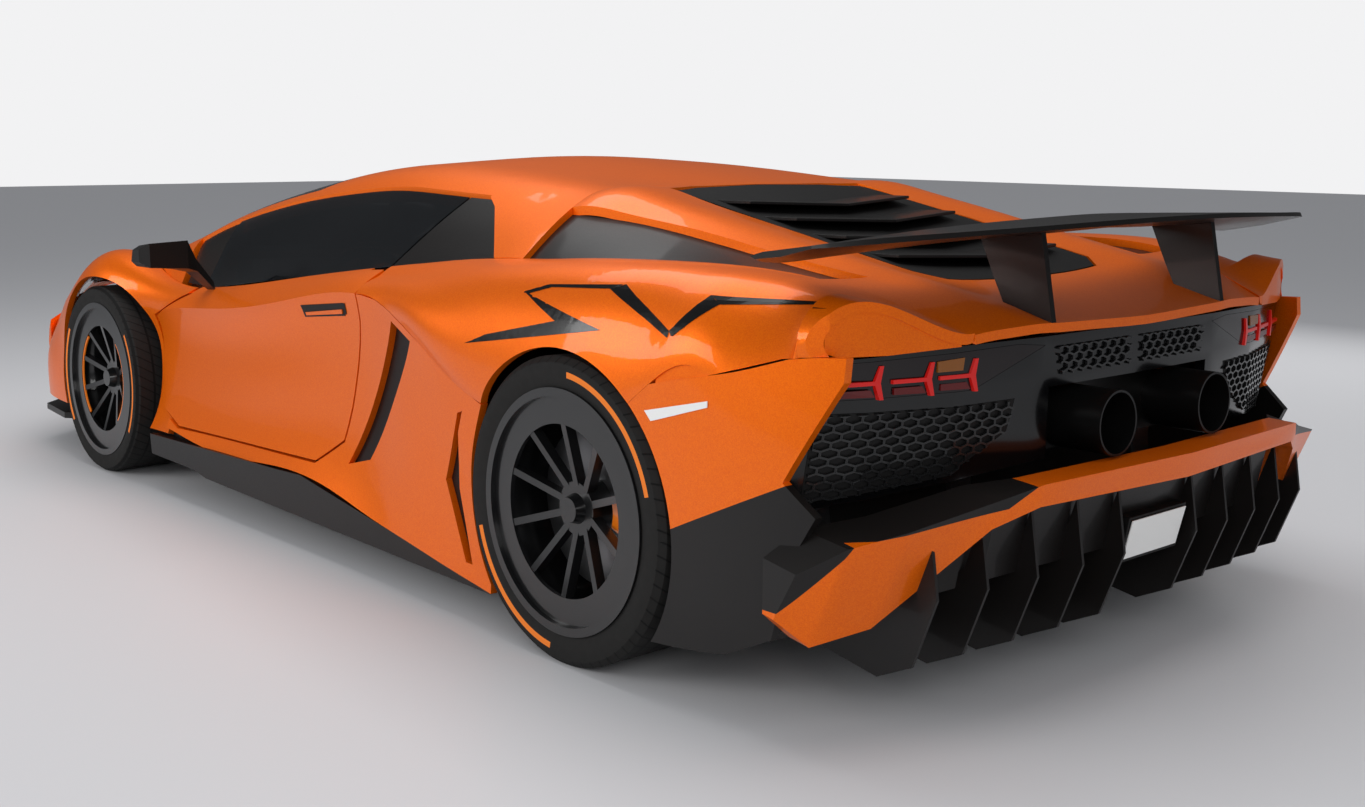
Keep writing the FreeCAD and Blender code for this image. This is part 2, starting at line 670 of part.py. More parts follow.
def section_wire(place, outer, inner, breaks):
    out = [Vec(place, y, z) for y, z in outer]
    back = [Vec(place, y, z) for y, z in reversed(inner)]
    last = len(out) - 1
    back_breaks = [last - k for k in reversed(breaks)]
    edges = segment_edges(out, breaks)
    edges.append(Part.LineSegment(out[-1], back[0]).toShape())
    edges += segment_edges(back, back_breaks)
    edges.append(Part.LineSegment(back[-1], out[0]).toShape())
    return Part.Wire(edges)


def thick_wire(place, outer, depth, breaks):
    """Section with a curved outer face and a plain inner one, depth further inboard."""
    out = [Vec(place, y, z) for y, z in outer]
    inner_top = Vec(place, outer[-1][0] - depth, outer[-1][1])
    inner_low = Vec(place, outer[0][0] - depth, outer[0][1])
    edges = segment_edges(out, breaks)
    edges += [straight(out[-1], inner_top), straight(inner_top, inner_low), straight(inner_low, out[0])]
    return Part.Wire(edges)


def thick_panel(lines, stations, depth, breaks):
    """Solid panel as thick as a whole door, flat on its inner side."""
    wires = [thick_wire(place, [line_at(line, place) for line in lines], depth,
                        breaks) for place in stations]
    return solid_of(Part.makeLoft(wires, True, False))


def shell(lines, stations, depth, breaks, mirrored=False):
    """Solid skin between an outer surface through the lines and the same surface moved inwards."""
    wires = []
    for place in stations:
        outer = [line_at(line, place) for line in lines]
        if mirrored:
            outer = outer + [(-y, z) for y, z in reversed(outer[:-1])]
        inner = inset(outer, -depth)
        wires.append(section_wire(place, outer, inner, breaks))
    return solid_of(Part.makeLoft(wires, True, False))


TOP_BREAKS = [0, 10]


def top_skin(depth, start, end):
    """Upper body skin between two places, from the surface inwards by depth, within the belt lines."""
    whole = shell(top_lines, knots_of(belt_line, start, end), depth, TOP_BREAKS, True)
    return keep(whole, inside_line(belt_line, start, end, -half_seam))


windscreen_points = closed_half(WINDSCREEN_SHARES)
windscreen_hole = plan_prism(windscreen_points, 0, HIGH)
windscreen_pane = plan_prism(grown(windscreen_points, -dims.seam_gap), 0, HIGH)
cover_points = closed_half(ENGINE_COVER_SHARES)
cover_hole = plan_prism(cover_points, 0, HIGH)
cover_panel = plan_prism(grown(cover_points, -dims.moving_gap), 0, HIGH)


ROOF_BACK = at_length(1.153)
PANE_FRONT = at_length(1.862)
SCOOP_BACK = at_length(0.490)
SCREEN_BACK = at_length(1.601)

pane_hole = side_prism(side_points(SIDE_PANE_SHARES), 0, WIDE)


def slab(x0, x1):
    return box(x0, x1, -WIDE, WIDE, 0, HIGH)


# Roof with its front and rear pillars.
frame_front = cut(top_skin(dims.roof_wall, ROOF_BACK, BELT_FRONT), [windscreen_hole])
pane_cut = keep(outside_line(rail_line, BELT_BACK, PANE_FRONT, -dims.seal_gap), pane_hole)
frame_front = cut(frame_front, [pane_cut, flip(pane_cut)])
add_shape("roof_frame", frame_front)

screen_skin = top_skin(dims.glass_wall, SCREEN_BACK, BELT_FRONT)
add_shape("windscreen", keep(screen_skin, windscreen_pane))

# Engine bay surround and tail deck.


def stood_at(sections):
    """Side-view sections given as (side place, points), each moved out to its place."""
    return [[Vec(p.x, y, p.z) for p in points] for y, points in sections]


def across(sections, ruled=True):
    """Solid through side-view sections given as (side place, points), mirrored to full width."""
    half = stood_at(sections)
    full = [[Vec(p.x, -p.y, p.z) for p in points] for points in reversed(half)]
    if sections[0][0] == 0:
        full = full[:-1]
    return loft_across(full + half, ruled)


def rows(shares):
    """Sections across the car from shares of half width, then of length and body height."""
    return [(at_side(side), side_points(points)) for side, points in shares]
surround = cut(top_skin(dims.panel_wall, BELT_BACK, ROOF_BACK - dims.seam_gap), [cover_hole])
scoop_cut = keep(outside_line(rail_line, BELT_BACK, PANE_FRONT, 0), slab(SCOOP_BACK, ROOF_BACK))
surround = cut(surround, [scoop_cut, flip(scoop_cut)])
deck_back = plan_points(DECK_BACK_SHARES)
TAIL_OUT = REAR_END - dims.overrun
behind_points = deck_back + [Vec(TAIL_OUT, deck_back[-1].y, 0), Vec(TAIL_OUT, 0, 0)]
behind_deck = plan_prism(behind_points, 0, HIGH)
behind_deck = fuse([behind_deck, flip(behind_deck)])
surround = cut(surround, [behind_deck])
add_shape("rear_deck", surround)

engine_cover = keep(top_skin(dims.lid_wall, at_length(0.430), ROOF_BACK), cover_panel)
cover_swing = cover_panel.copy()
cover_swing.translate(Vec(dims.moving_gap - dims.lid_hinge_gap, 0, 0))
engine_cover = keep(engine_cover, cover_swing)

scoop_skin = top_skin(dims.glass_wall, SCOOP_BACK + dims.seam_gap, ROOF_BACK - dims.seam_gap)
scoop_skin.translate(Vec(0, 0, -dims.panel_wall))
scoop_keep = outside_line(rail_line, BELT_BACK, PANE_FRONT, -dims.panel_wall)
scoop_left = keep(keep(scoop_skin, scoop_keep), slab(SCOOP_BACK + dims.seam_gap,
                                                     ROOF_BACK - dims.seam_gap))
scoop_left = keep(scoop_left, inside_line(belt_line, BELT_BACK, BELT_FRONT, -dims.seam_gap))
scoop_left = cut(scoop_left, [surround])
add_shape("side_scoops", both(scoop_left))

# Side glass: the pane between the belt and the rail, split at the door's back edge.
side_skin = top_skin(dims.glass_wall, at_length(1.171), at_length(1.871))
side_skin = keep(side_skin, keep(outside_line(rail_line, BELT_BACK, BELT_FRONT, 0), pane_hole))
door_pane_points = side_points(DOOR_PANE_SHARES)
fixed_front_points = side_points(FIXED_FRONT_SHARES)
fixed_back_points = side_points(FIXED_BACK_SHARES)
door_pane = keep(side_skin, side_prism(grown_side(door_pane_points, -dims.moving_gap / 2), 0, WIDE))
back_pane = keep(side_skin, side_prism(grown_side(fixed_back_points, -dims.moving_gap / 2), 0, WIDE))
pane_shrink = side_prism(grown_side(side_points(SIDE_PANE_SHARES), -dims.seam_gap), 0, WIDE)
back_pane = keep(back_pane, pane_shrink)
add_shape("door_glass_left", door_pane)
add_shape("door_glass_right", flip(door_pane))
front_tri = keep(side_skin, side_prism(grown_side(fixed_front_points, -dims.moving_gap / 2), 0, WIDE))
front_tri.translate(Vec(0, -dims.lap_step, 0))
front_tri = cut(front_tri, [frame_front])
add_shape("quarter_glass", Part.makeCompound(both(back_pane).Solids + both(front_tri).Solids))

# Doors, as thick as the whole door, with the belt as their top.
door_outline = side_points(DOOR_OUTLINE_SHARES)
DOOR_SPAN = [at_length(1.353), at_length(1.897)]
DOOR_BREAKS = [0, 4, 6]
door_body = thick_panel(door_lines, knots_of(waist_line, DOOR_SPAN[0], DOOR_SPAN[1]), dims.door_wall,
                        DOOR_BREAKS)
outside_belt = outside_line(belt_line, BELT_BACK, BELT_FRONT, half_seam)
door_body = keep(door_body, side_prism(grown_side(door_outline, -dims.moving_gap), 0, WIDE))
door_hole = side_prism(door_outline, MIDWAY, WIDE)
# Behind the pane's foot only the door's outer skin rises past the fixed pane.
corner_back, corner_front, corner_low = at_length(CORNER_SHARES[0]), at_length(CORNER_SHARES[1]), at_height(CORNER_SHARES[2])
door_corner = box(corner_back, corner_front, 0, dims.half_width * CORNER_SHARES[3], corner_low, HIGH)
door_body = cut(door_body, [door_corner])

# The crease along the quarter parts it from the panels below, so each of them stops there at a plain rim.
CREASE_STEPS = 24
CREASE_SPAN = at_length(0.133), at_length(1.379)


def crease_prism(shift, end):
    """All between the rear crease, moved by a shift, and a height."""
    run = places(*CREASE_SPAN, CREASE_STEPS)
    rim = [Vec(x, 0, line_at(rear_crease_line, x)[1] + shift) for x in run]
    return side_prism(rim + [Vec(run[-1], 0, end), Vec(run[0], 0, end)], 0, WIDE)


below_crease = crease_prism(-dims.seat_gap, 0)
above_crease = crease_prism(-dims.crease_seam, HIGH)

# Lower side panels between the door and the rear wheel, with the slatted and wedge-shaped air inlets.
PANEL_BACK = at_length(1.108)
SIDE_BREAKS = [0, 4]
side_panel = shell(side_lines, knots_of(waist_line, PANEL_BACK, at_length(1.908)), dims.panel_wall,
                   SIDE_BREAKS)
slat_hole = side_prism(side_points(SLAT_SHARES), MIDWAY, WIDE)
wedge_hole = side_prism(side_points(WEDGE_SHARES), MIDWAY, WIDE)
front_end_cut = slab(at_length(1.819) - dims.seam_gap, FRONT_END)
side_panel = cut(side_panel, [door_hole, slat_hole, wedge_hole, rear_arch, front_end_cut, above_crease])
add_shape("side_panels", both(side_panel))
slat_back = shell(side_lines, knots_of(waist_line, PANEL_BACK, at_length(1.416)), dims.glass_wall,
                  SIDE_BREAKS)
slat_back.translate(Vec(0, -dims.panel_wall - dims.seat_gap, 0))
slat_cover = keep(slat_back, side_prism(grown_side(side_points(SLAT_SHARES), dims.panel_wall), MIDWAY,
                                        WIDE))
wedge_cover = keep(slat_back, side_prism(grown_side(side_points(WEDGE_SHARES), dims.panel_wall), MIDWAY,
                                         WIDE))
slat_cover = cut(slat_cover, [side_panel])
wedge_cover = cut(wedge_cover, [rear_arch, side_panel])
inlet_pieces = both(slat_cover).Solids + both(wedge_cover).Solids

# Front wings.
FRONT_BREAKS = [0, 4, 6]
WING_FRONT = at_length(2.616)
front_wing = shell(front_lines, knots_of(front_lines[3], at_length(1.764), WING_FRONT), dims.panel_wall,
                   FRONT_BREAKS)
front_wing = keep(front_wing, outside_line(front_inner_line, at_length(1.768), at_length(2.721), 0))
lid_clear = inside_line(front_inner_line, at_length(2.011), at_length(2.721), dims.moving_gap / 2)
belt_clear = inside_line(belt_line, BELT_BACK, BELT_FRONT, half_seam)
front_wing = cut(front_wing, [front_arch, side_prism(door_outline, MIDWAY, WIDE), belt_clear, lid_clear])
hinge_clear = rod(dims.hinge_clear, Vec(at_length(HINGE_SHARES[0]), MIDWAY, at_height(HINGE_SHARES[1])),
                  Vec(at_length(HINGE_SHARES[0]), WIDE, at_height(HINGE_SHARES[1])))
WING_BACK = at_length(1.819)
low_cut = box(REAR_END, WING_BACK, 0, WIDE, 0, at_height(HINGE_SHARES[1]) / 2)
sill_clear = box(REAR_END, dims.sill_front + dims.seam_gap, 0, dims.sill_half + dims.seam_gap, 0,
                 dims.sill_top + dims.seam_gap)
front_wing = cut(front_wing, [hinge_clear, low_cut, sill_clear])
lamp_outline = plan_points(HEADLAMP_SHARES)
lamp_floor = at_height(HEADLAMP_FLOOR_SHARE)
headlamp = keep(front_wing, plan_prism(grown(lamp_outline, -dims.seam_gap), lamp_floor + dims.seam_gap,
                                       HIGH))
front_wing = cut(front_wing, [plan_prism(lamp_outline, lamp_floor, HIGH)])
add_shape("headlamps", both(headlamp))
add_shape("front_wings", both(front_wing))

# Rear wings, from the crease up to the belt.
QUARTER_BREAKS = [0, 4]
QUARTER_JOIN = at_length(0.319)
quarter = shell(quarter_lines, knots_of(rear_crease_line, QUARTER_JOIN, at_length(1.364)),
                dims.panel_wall, QUARTER_BREAKS)
quarter_tail = shell(quarter_lines, [at_length(0.148), QUARTER_JOIN], dims.panel_wall, QUARTER_BREAKS)
quarter = fuse([quarter, quarter_tail])
quarter = cut(quarter, [rear_arch, belt_clear, door_hole, behind_deck, below_crease])
# A wall closes the quarter's open end between its skin and the black panel below.
END_WALL_SHARES = [
    (0.601, [(0.174, 0.692), (0.174, 0.845), (0.188, 0.845), (0.188, 0.692)]),
    (0.768, [(0.222, 0.685), (0.222, 0.845), (0.236, 0.845), (0.236, 0.685)]),
    (0.867, [(0.264, 0.685), (0.264, 0.845), (0.278, 0.845), (0.278, 0.685)]),
    (0.892, [(0.276, 0.694), (0.276, 0.845), (0.290, 0.845), (0.290, 0.694)]),
]
end_wall = solid_of(loft_across(stood_at(rows(END_WALL_SHARES)), True).cut(quarter))
end_wall = min(end_wall.Solids, key=lambda piece: piece.CenterOfMass.z)
quarter = fuse([quarter, end_wall])
add_shape("rear_wings", both(quarter))

tail_side = shell(tail_side_lines, knots_of(rear_crease_line, at_length(0.219), at_length(0.781)),
                  dims.panel_wall, [0, 2])
tail_back = side_points([(0.188, 0.697), (0.334, 0.467), (0.259, 0.414), (0.300, 0.349), (0.363, 0.181),
                         (0.520, 0.115), (0.520, 0.000), (-0.083, 0.000), (-0.083, 0.697)])
tail_side = cut(tail_side, [rear_arch, side_prism(tail_back, 0, WIDE), above_crease])

# Front luggage lid.
lid_points = closed_half(FRONT_LID_SHARES)
# The lid's edge at its hinges stands back further, for the edge swings as the lid opens.
LID_LINES = [front_inner_line, feature_line(LID_EDGE_SHARES), feature_line(LID_CREASE_SHARES),
             feature_line(LID_CREST_SHARES)]
lid = shell(LID_LINES, knots_of(LID_LINES[1], at_length(2.013), at_length(2.836)), dims.lid_wall, [0, 6],
            True)
lid = keep(lid, inside_line(front_inner_line, at_length(2.011), at_length(2.844), -dims.moving_gap / 2))
lid_plan = plan_prism(grown(lid_points, -dims.moving_gap / 2), 0, HIGH)
lid_back_plan = lid_plan.copy()
lid_back_plan.translate(Vec(dims.lid_hinge_gap - dims.moving_gap / 2, 0, 0))
lid = keep(keep(lid, lid_plan), lid_back_plan)


# Tail: painted lower bumper, black panel under the deck with lamps and grilles, and diffuser.
BUMPER_SHARES = [
    (0.000, [(0.078, 0.456), (0.000, 0.454), (0.010, 0.405), (0.082, 0.407)]),
    (0.512, [(0.098, 0.456), (0.026, 0.454), (0.036, 0.412), (0.118, 0.414)]),
    (0.611, [(0.154, 0.447), (0.066, 0.431), (0.080, 0.379), (0.162, 0.387)]),
    (0.808, [(0.239, 0.405), (0.128, 0.394), (0.219, 0.208), (0.289, 0.211)]),
    (0.916, [(0.309, 0.387), (0.182, 0.373), (0.283, 0.181), (0.339, 0.189)]),
    (0.970, [(0.359, 0.335), (0.269, 0.322), (0.329, 0.231), (0.359, 0.236)]),
]
bumper = across(rows(BUMPER_SHARES))
add_shape("rear_bumper", bumper)
tail_side = cut(tail_side, [bumper])
add_shape("tail_sides", both(tail_side))

FASCIA_SHARES = [
    (0.000, [(0.156, 0.692), (0.156, 0.616), (0.156, 0.458), (0.182, 0.458), (0.182, 0.616),
             (0.182, 0.692)]),
    (0.345, [(0.160, 0.692), (0.162, 0.616), (0.168, 0.458), (0.194, 0.458), (0.188, 0.616),
             (0.186, 0.692)]),
    (0.591, [(0.192, 0.690), (0.196, 0.607), (0.213, 0.440), (0.239, 0.440), (0.223, 0.607),
             (0.219, 0.690)]),
    (0.788, [(0.243, 0.681), (0.251, 0.607), (0.289, 0.419), (0.315, 0.419), (0.277, 0.607),
             (0.269, 0.681)]),
    (0.911, [(0.293, 0.676), (0.305, 0.607), (0.359, 0.405), (0.379, 0.405), (0.325, 0.607),
             (0.313, 0.676)]),
]
GRILLE_SHARES = [(0.892, 0.585), (0.594, 0.580), (0.420, 0.582), (0.438, 0.522), (0.591, 0.451),
                 (0.887, 0.421)]
OUTLET_SIDE_SHARE = 0.197
OUTLET_LENGTH_SHARES = [0.214, 0.430, 0.066]
OUTLET_BAY_SHARES = [(0.000, 0.595), (0.317, 0.595), (0.317, 0.440), (0.000, 0.440)]
LAMP_SHARES = [(0.335, 0.676), (0.417, 0.683), (0.828, 0.673), (0.885, 0.658), (0.887, 0.607),
               (0.541, 0.607)]
fascia = across(rows(FASCIA_SHARES))
neighbours = [quarter, flip(quarter), surround, tail_side, flip(tail_side)]
fascia = cut(fascia, neighbours)
grille_points = tail_points(GRILLE_SHARES)
lamp_points = tail_points(LAMP_SHARES)
grille_hole = tail_prism(grille_points, REAR_END, REAR_AXLE)
outlet_bay = tail_prism(tail_points(OUTLET_BAY_SHARES), REAR_END, REAR_AXLE)
fascia_shape = cut(fascia, [grille_hole, flip(grille_hole), outlet_bay, flip(outlet_bay)])
lamp_step = fascia.copy()
lamp_step.translate(Vec(dims.lid_wall, 0, 0))
lamp_seat = tail_prism(lamp_points, REAR_END, REAR_AXLE)
lamp_seat = lamp_seat.cut(lamp_step)
fascia_shape = cut(fascia_shape, [lamp_seat, flip(lamp_seat)])
add_shape("rear_fascia", fascia_shape)
lamp_body = fascia.common(tail_prism(shrink_tail(lamp_points, dims.seam_gap), REAR_END, REAR_AXLE))
lamp_step.translate(Vec(-dims.seat_gap, 0, 0))
lamp_body = solid_of(lamp_body.cut(lamp_step))
add_shape("tail_lamps", both(lamp_body))
mesh_body = fascia.common(tail_prism(shrink_tail(grille_points, dims.seam_gap), REAR_END, REAR_AXLE))
mesh_cut = fascia.copy()
mesh_cut.translate(Vec(-dims.lid_wall, 0, 0))
mesh_body = solid_of(mesh_body.common(mesh_cut).common(fascia))
grille_pieces = both(mesh_body).Solids

DIFFUSER_SHARES = [
    (0.000, [(0.088, 0.396), (0.118, 0.264), (0.520, 0.114), (0.520, 0.125), (0.148, 0.278),
             (0.112, 0.401)]),
    (0.552, [(0.118, 0.387), (0.148, 0.264), (0.520, 0.114), (0.520, 0.125), (0.178, 0.278),
             (0.142, 0.394)]),
    (0.788, [(0.309, 0.264), (0.329, 0.194), (0.520, 0.114), (0.520, 0.125), (0.349, 0.208),
             (0.329, 0.273)]),
]
diffuser_pan = across(rows(DIFFUSER_SHARES))
FIN_SHARES = [(0.460, 0.132), (0.128, 0.290), (0.088, 0.387), (0.068, 0.264), (0.128, 0.132),
              (0.219, 0.095)]
FIN_SIDE_SHARES = [0.148, 0.296, 0.443, 0.591, 0.729]
fins = []
for side in FIN_SIDE_SHARES:
    fin = side_prism(side_points(FIN_SHARES), at_side(side) - dims.fin_wall / 2,
                     at_side(side) + dims.fin_wall / 2)
    shift = (at_side(side) / dims.half_width) ** 2 * dims.fin_sweep
    fin.translate(Vec(shift, 0, 0))
    fins.append(fin)
diffuser = fuse([diffuser_pan] + fins + [flip(f) for f in fins])
diffuser = cut(diffuser, [bumper])
add_shape("rear_diffuser", diffuser)

# Rear wing: one blade on two uprights.
BLADE_SHARES = [
    (0.000, [(0.369, 0.887), (0.279, 0.908), (0.023, 0.915), (0.018, 0.907), (0.198, 0.886),
             (0.319, 0.877)]),
    (0.335, [(0.384, 0.880), (0.299, 0.901), (0.058, 0.910), (0.054, 0.901), (0.219, 0.879),
             (0.334, 0.870)]),
    (0.690, [(0.430, 0.861), (0.359, 0.880), (0.148, 0.898), (0.144, 0.889), (0.289, 0.864),
             (0.389, 0.852)]),
    (0.887, [(0.460, 0.847), (0.410, 0.863), (0.229, 0.887), (0.225, 0.879), (0.339, 0.854),
             (0.430, 0.840)]),
    (0.941, [(0.435, 0.854), (0.399, 0.863), (0.269, 0.880), (0.267, 0.875), (0.349, 0.857),
             (0.420, 0.849)]),
]
blade = across(rows(BLADE_SHARES), False)
PYLON_SHARES = [(0.233, 0.695), (0.133, 0.695), (0.172, 0.893), (0.339, 0.889), (0.289, 0.792)]
pylon_in = at_side(0.340) - dims.pylon_wall / 2
pylon = side_prism(side_points(PYLON_SHARES), pylon_in, pylon_in + dims.pylon_wall)
wing = fuse([blade, pylon, flip(pylon)])
wing = cut(wing, [surround])
wing_solids = sorted(wing.Solids, key=lambda piece: -piece.Volume)
wing = wing_solids[0]
add_shape("rear_aerofoil", wing)

# Exhaust: silencer box and two round outlets.
outlet_side = at_side(OUTLET_SIDE_SHARE)
box_back, box_front, outlet_back = [at_length(share) for share in OUTLET_LENGTH_SHARES]
silencer = box(box_back, box_front, -dims.silencer_half, dims.silencer_half,
               dims.outlet_height - dims.outlet_radius,
               dims.outlet_height + dims.outlet_radius)
outlets = []
for side in (outlet_side, -outlet_side):
    start = Vec(box_back, side, dims.outlet_height)
    end = Vec(outlet_back, side, dims.outlet_height)
    outlets.append(rod(dims.outlet_radius, start, end).cut(rod(dims.outlet_radius - dims.outlet_wall,
                                                               start, end)))
add_shape("exhaust", fuse([silencer] + outlets))

# Side skirts: black blades under the painted sides.
SKIRT_SHARES = [(1.858, 0.165), (1.527, 0.188), (1.471, 0.194), (1.305, 0.139), (1.119, 0.079),
                (1.119, 0.074), (1.702, 0.092),
                (1.734, 0.104), (1.853, 0.107)]
skirt = side_prism(side_points(SKIRT_SHARES), dims.sill_half + dims.seam_gap, at_side(0.952))
skirt = cut(skirt, [side_panel, rear_arch, front_arch])
add_shape("side_skirts", both(skirt))

# Nose.
NOSE_SHARES = [
    (0.000, [(2.809, 0.480), (2.923, 0.440), (3.000, 0.370), (2.989, 0.290), (2.971, 0.283),
             (2.976, 0.363),
             (2.913, 0.426), (2.809, 0.464)]),
    (0.296, [(2.774, 0.495), (2.879, 0.445), (2.943, 0.361), (2.939, 0.282), (2.921, 0.275),
             (2.925, 0.354),
               (2.869, 0.430), (2.774, 0.479)]),
    (0.493, [(2.611, 0.539), (2.803, 0.442), (2.869, 0.355), (2.865, 0.276), (2.848, 0.268),
             (2.851, 0.348),
               (2.793, 0.428), (2.611, 0.523)]),
    (0.591, [(2.611, 0.533), (2.765, 0.440), (2.832, 0.352), (2.829, 0.273), (2.811, 0.266),
             (2.814, 0.345),
               (2.755, 0.426), (2.611, 0.518)]),
    (0.788, [(2.611, 0.463), (2.660, 0.423), (2.720, 0.352), (2.716, 0.273), (2.699, 0.266),
             (2.702, 0.345),
               (2.650, 0.408), (2.611, 0.447)]),
    (0.882, [(2.611, 0.414), (2.625, 0.387), (2.634, 0.343), (2.630, 0.273), (2.611, 0.266),
             (2.611, 0.343),
               (2.611, 0.379), (2.611, 0.400)]),
]
nose = across(rows(NOSE_SHARES))
lid_hole = plan_prism(grown(lid_points, dims.moving_gap / 2), 0, HIGH)
nose = cut(nose, [lid_hole, front_wing, flip(front_wing)])
add_shape("front_bumper", nose)
INTAKE_SHARES = [
    (0.000, [(2.967, 0.264), (2.960, 0.167), (2.943, 0.167), (2.950, 0.264)]),
    (0.296, [(2.918, 0.264), (2.911, 0.167), (2.893, 0.167), (2.900, 0.264)]),
    (0.591, [(2.807, 0.259), (2.800, 0.167), (2.783, 0.167), (2.790, 0.259)]),
    (0.788, [(2.695, 0.259), (2.688, 0.167), (2.671, 0.167), (2.678, 0.259)]),
    (0.887, [(2.616, 0.259), (2.613, 0.167), (2.599, 0.167), (2.604, 0.259)]),
]
intake = cut(across(rows(INTAKE_SHARES)), [front_wing, flip(front_wing)])
add_shape("grilles", Part.makeCompound(grille_pieces + intake.Solids + inlet_pieces))
SPLITTER_SHARES = [(2.976, 0.000), (2.932, 0.296), (2.818, 0.611), (2.704, 0.808), (2.625, 0.901),
                   (2.406, 0.926),
                   (2.362, 0.887), (2.353, 0.552), (2.353, 0.000)]
splitter = plan_prism(closed_half(SPLITTER_SHARES), dims.ride_height,
                      dims.ride_height + dims.splitter_wall)
tray_edge = FRONT_AXLE + dims.tray_reach_front + dims.seat_gap
splitter = cut(splitter, [box(REAR_END, tray_edge, -WIDE, WIDE, 0, HIGH)])
add_shape("front_splitter", splitter)


# Parts made from sketches, primitives and booleans bound to the sheet.
def add_object(piece, name):
    piece.Label = name
    SUBPARTS.append(piece)
    return piece


def body_plane(body, role):
    for item in body.Origin.OriginFeatures:
        if item.Role == role:
            return item
    raise ValueError(role)


def outline_sketch(body, name, role, corners):
    """Closed sketch through corners, each given as two sheet expressions."""
    sketch = body.newObject("Sketcher::SketchObject", name)
    sketch.AttachmentSupport = [(body_plane(body, role), "")]
    sketch.MapMode = "FlatFace"
    spots = [(float(sheet.evalExpression(a)), float(sheet.evalExpression(b))) for a, b in corners]
    count = len(spots)
    for i, spot in enumerate(spots):
        other = spots[(i + 1) % count]
        sketch.addGeometry(Part.LineSegment(Vec(spot[0], spot[1], 0), Vec(other[0], other[1], 0)), False)
    for i in range(count):
        sketch.addConstraint(Sketcher.Constraint("Coincident", i, 2, (i + 1) % count, 1))
    for i, (spot, corner) in enumerate(zip(spots, corners)):
        for kind, axis, value, text in (("DistanceX", -2, spot[0], corner[0]),
                                        ("DistanceY", -1, spot[1], corner[1])):
            if text == "0":
                sketch.addConstraint(Sketcher.Constraint("PointOnObject", i, 1, axis))
            else:
                place = sketch.addConstraint(Sketcher.Constraint(kind, -1, 1, i, 1, value))
                sketch.renameConstraint(place, "%s_%d" % (kind, i))
                sketch.setExpression("Constraints.%s_%d" % (kind, i), text)
    return sketch


def revolve_outline(body, name, corners):
    """Outline in side place and radius, turned about the body's own Y axis."""
    sketch = outline_sketch(body, name + "_outline", "YZ_Plane", corners)
    turned = body.newObject("PartDesign::Revolution", name)
    turned.Profile = sketch
    turned.ReferenceAxis = (sketch, ["H_Axis"])
    turned.Angle = 360.0
    body.Tip = turned
    return turned


def pad_outline(body, name, role, corners, length):
    """Outline padded evenly to both sides of its plane."""
    sketch = outline_sketch(body, name + "_outline", role, corners)
    pad = body.newObject("PartDesign::Pad", name)
    pad.Profile = sketch
    pad.SideType = "Symmetric"
    pad.setExpression("Length", length)
    body.Tip = pad
    return pad


# Places in a wheel's own frame: side places run outwards from its middle plane, then radii.
RIM_SHARES = [(1.0, 0.0, 0.0), (0.97, 0.0, 0.0), (0.93, 1.0, 0.0), (0.5, 1.0, 0.0), (0.35, 1.6, 0.0),
              (-0.4, 1.6, 0.0), (-0.6, 1.0, 0.0), (-0.93, 1.0, 0.0), (-0.97, 0.0, 0.0), (-1.0, 0.0, 0.0),
              (-1.0, 1.0, 0.6), (-0.6, 1.0, 1.0), (-0.4, 1.6, 1.0), (0.35, 1.6, 1.0), (0.5, 1.0, 1.0),
              (1.0, 1.0, 0.6)]
BEAD_SHARE = 0.915
SIDEWALL_SHARES = [(0.96, 0.0), (0.99, 0.30), (1.0, 0.55), (0.985, 0.8)]


def wheel_names(end):
    return {"half": "(dims.%s_rim_width / 2)" % end, "rim": "dims.%s_rim_radius" % end,
            "tyre": "dims.%s_tyre_radius" % end, "half_tyre": "(dims.%s_tyre_width / 2)" % end,
            "disc": "dims.%s_disc_radius" % end}


def place_wheel(piece, end, side):
    """Puts a piece made in a wheel's own frame at its hub, turned round for the right side."""
    if end == "front":
        hub = Vec(FRONT_AXLE, side * dims.front_track / 2, dims.front_tyre_radius)
    else:
        hub = Vec(REAR_AXLE, side * dims.rear_track / 2, dims.rear_tyre_radius)
    turn = 0 if side > 0 else 180
    piece.Placement = FreeCAD.Placement(hub, FreeCAD.Rotation(Vec(0, 0, 1), turn))


def make_tyre(end, side, name):
    n = wheel_names(end)
    body = doc.addObject("PartDesign::Body", name)
    bead_side = "%s * %s" % (BEAD_SHARE, n["half"])
    bead_low = "%s - dims.rim_flange + dims.seat_gap" % n["rim"]
    bead_top = "%s + dims.seat_gap" % n["rim"]
    wall = [("%s * %s" % (a, n["half_tyre"]), "%s + dims.seat_gap + %s * (%s - %s)" % (n["rim"], b,
                                                                                       n["tyre"], n["rim"]))
            for a, b in SIDEWALL_SHARES]
    edge = [("%s - dims.tread_round" % n["half_tyre"], n["tyre"])]
    right = [(bead_side, bead_low), (bead_side, bead_top)] + wall + edge
    left = [("-(%s)" % a, b) for a, b in reversed(right)]
    revolve_outline(body, name + "_casing", right + left)
    place_wheel(body, end, side)
    return add_object(body, name)


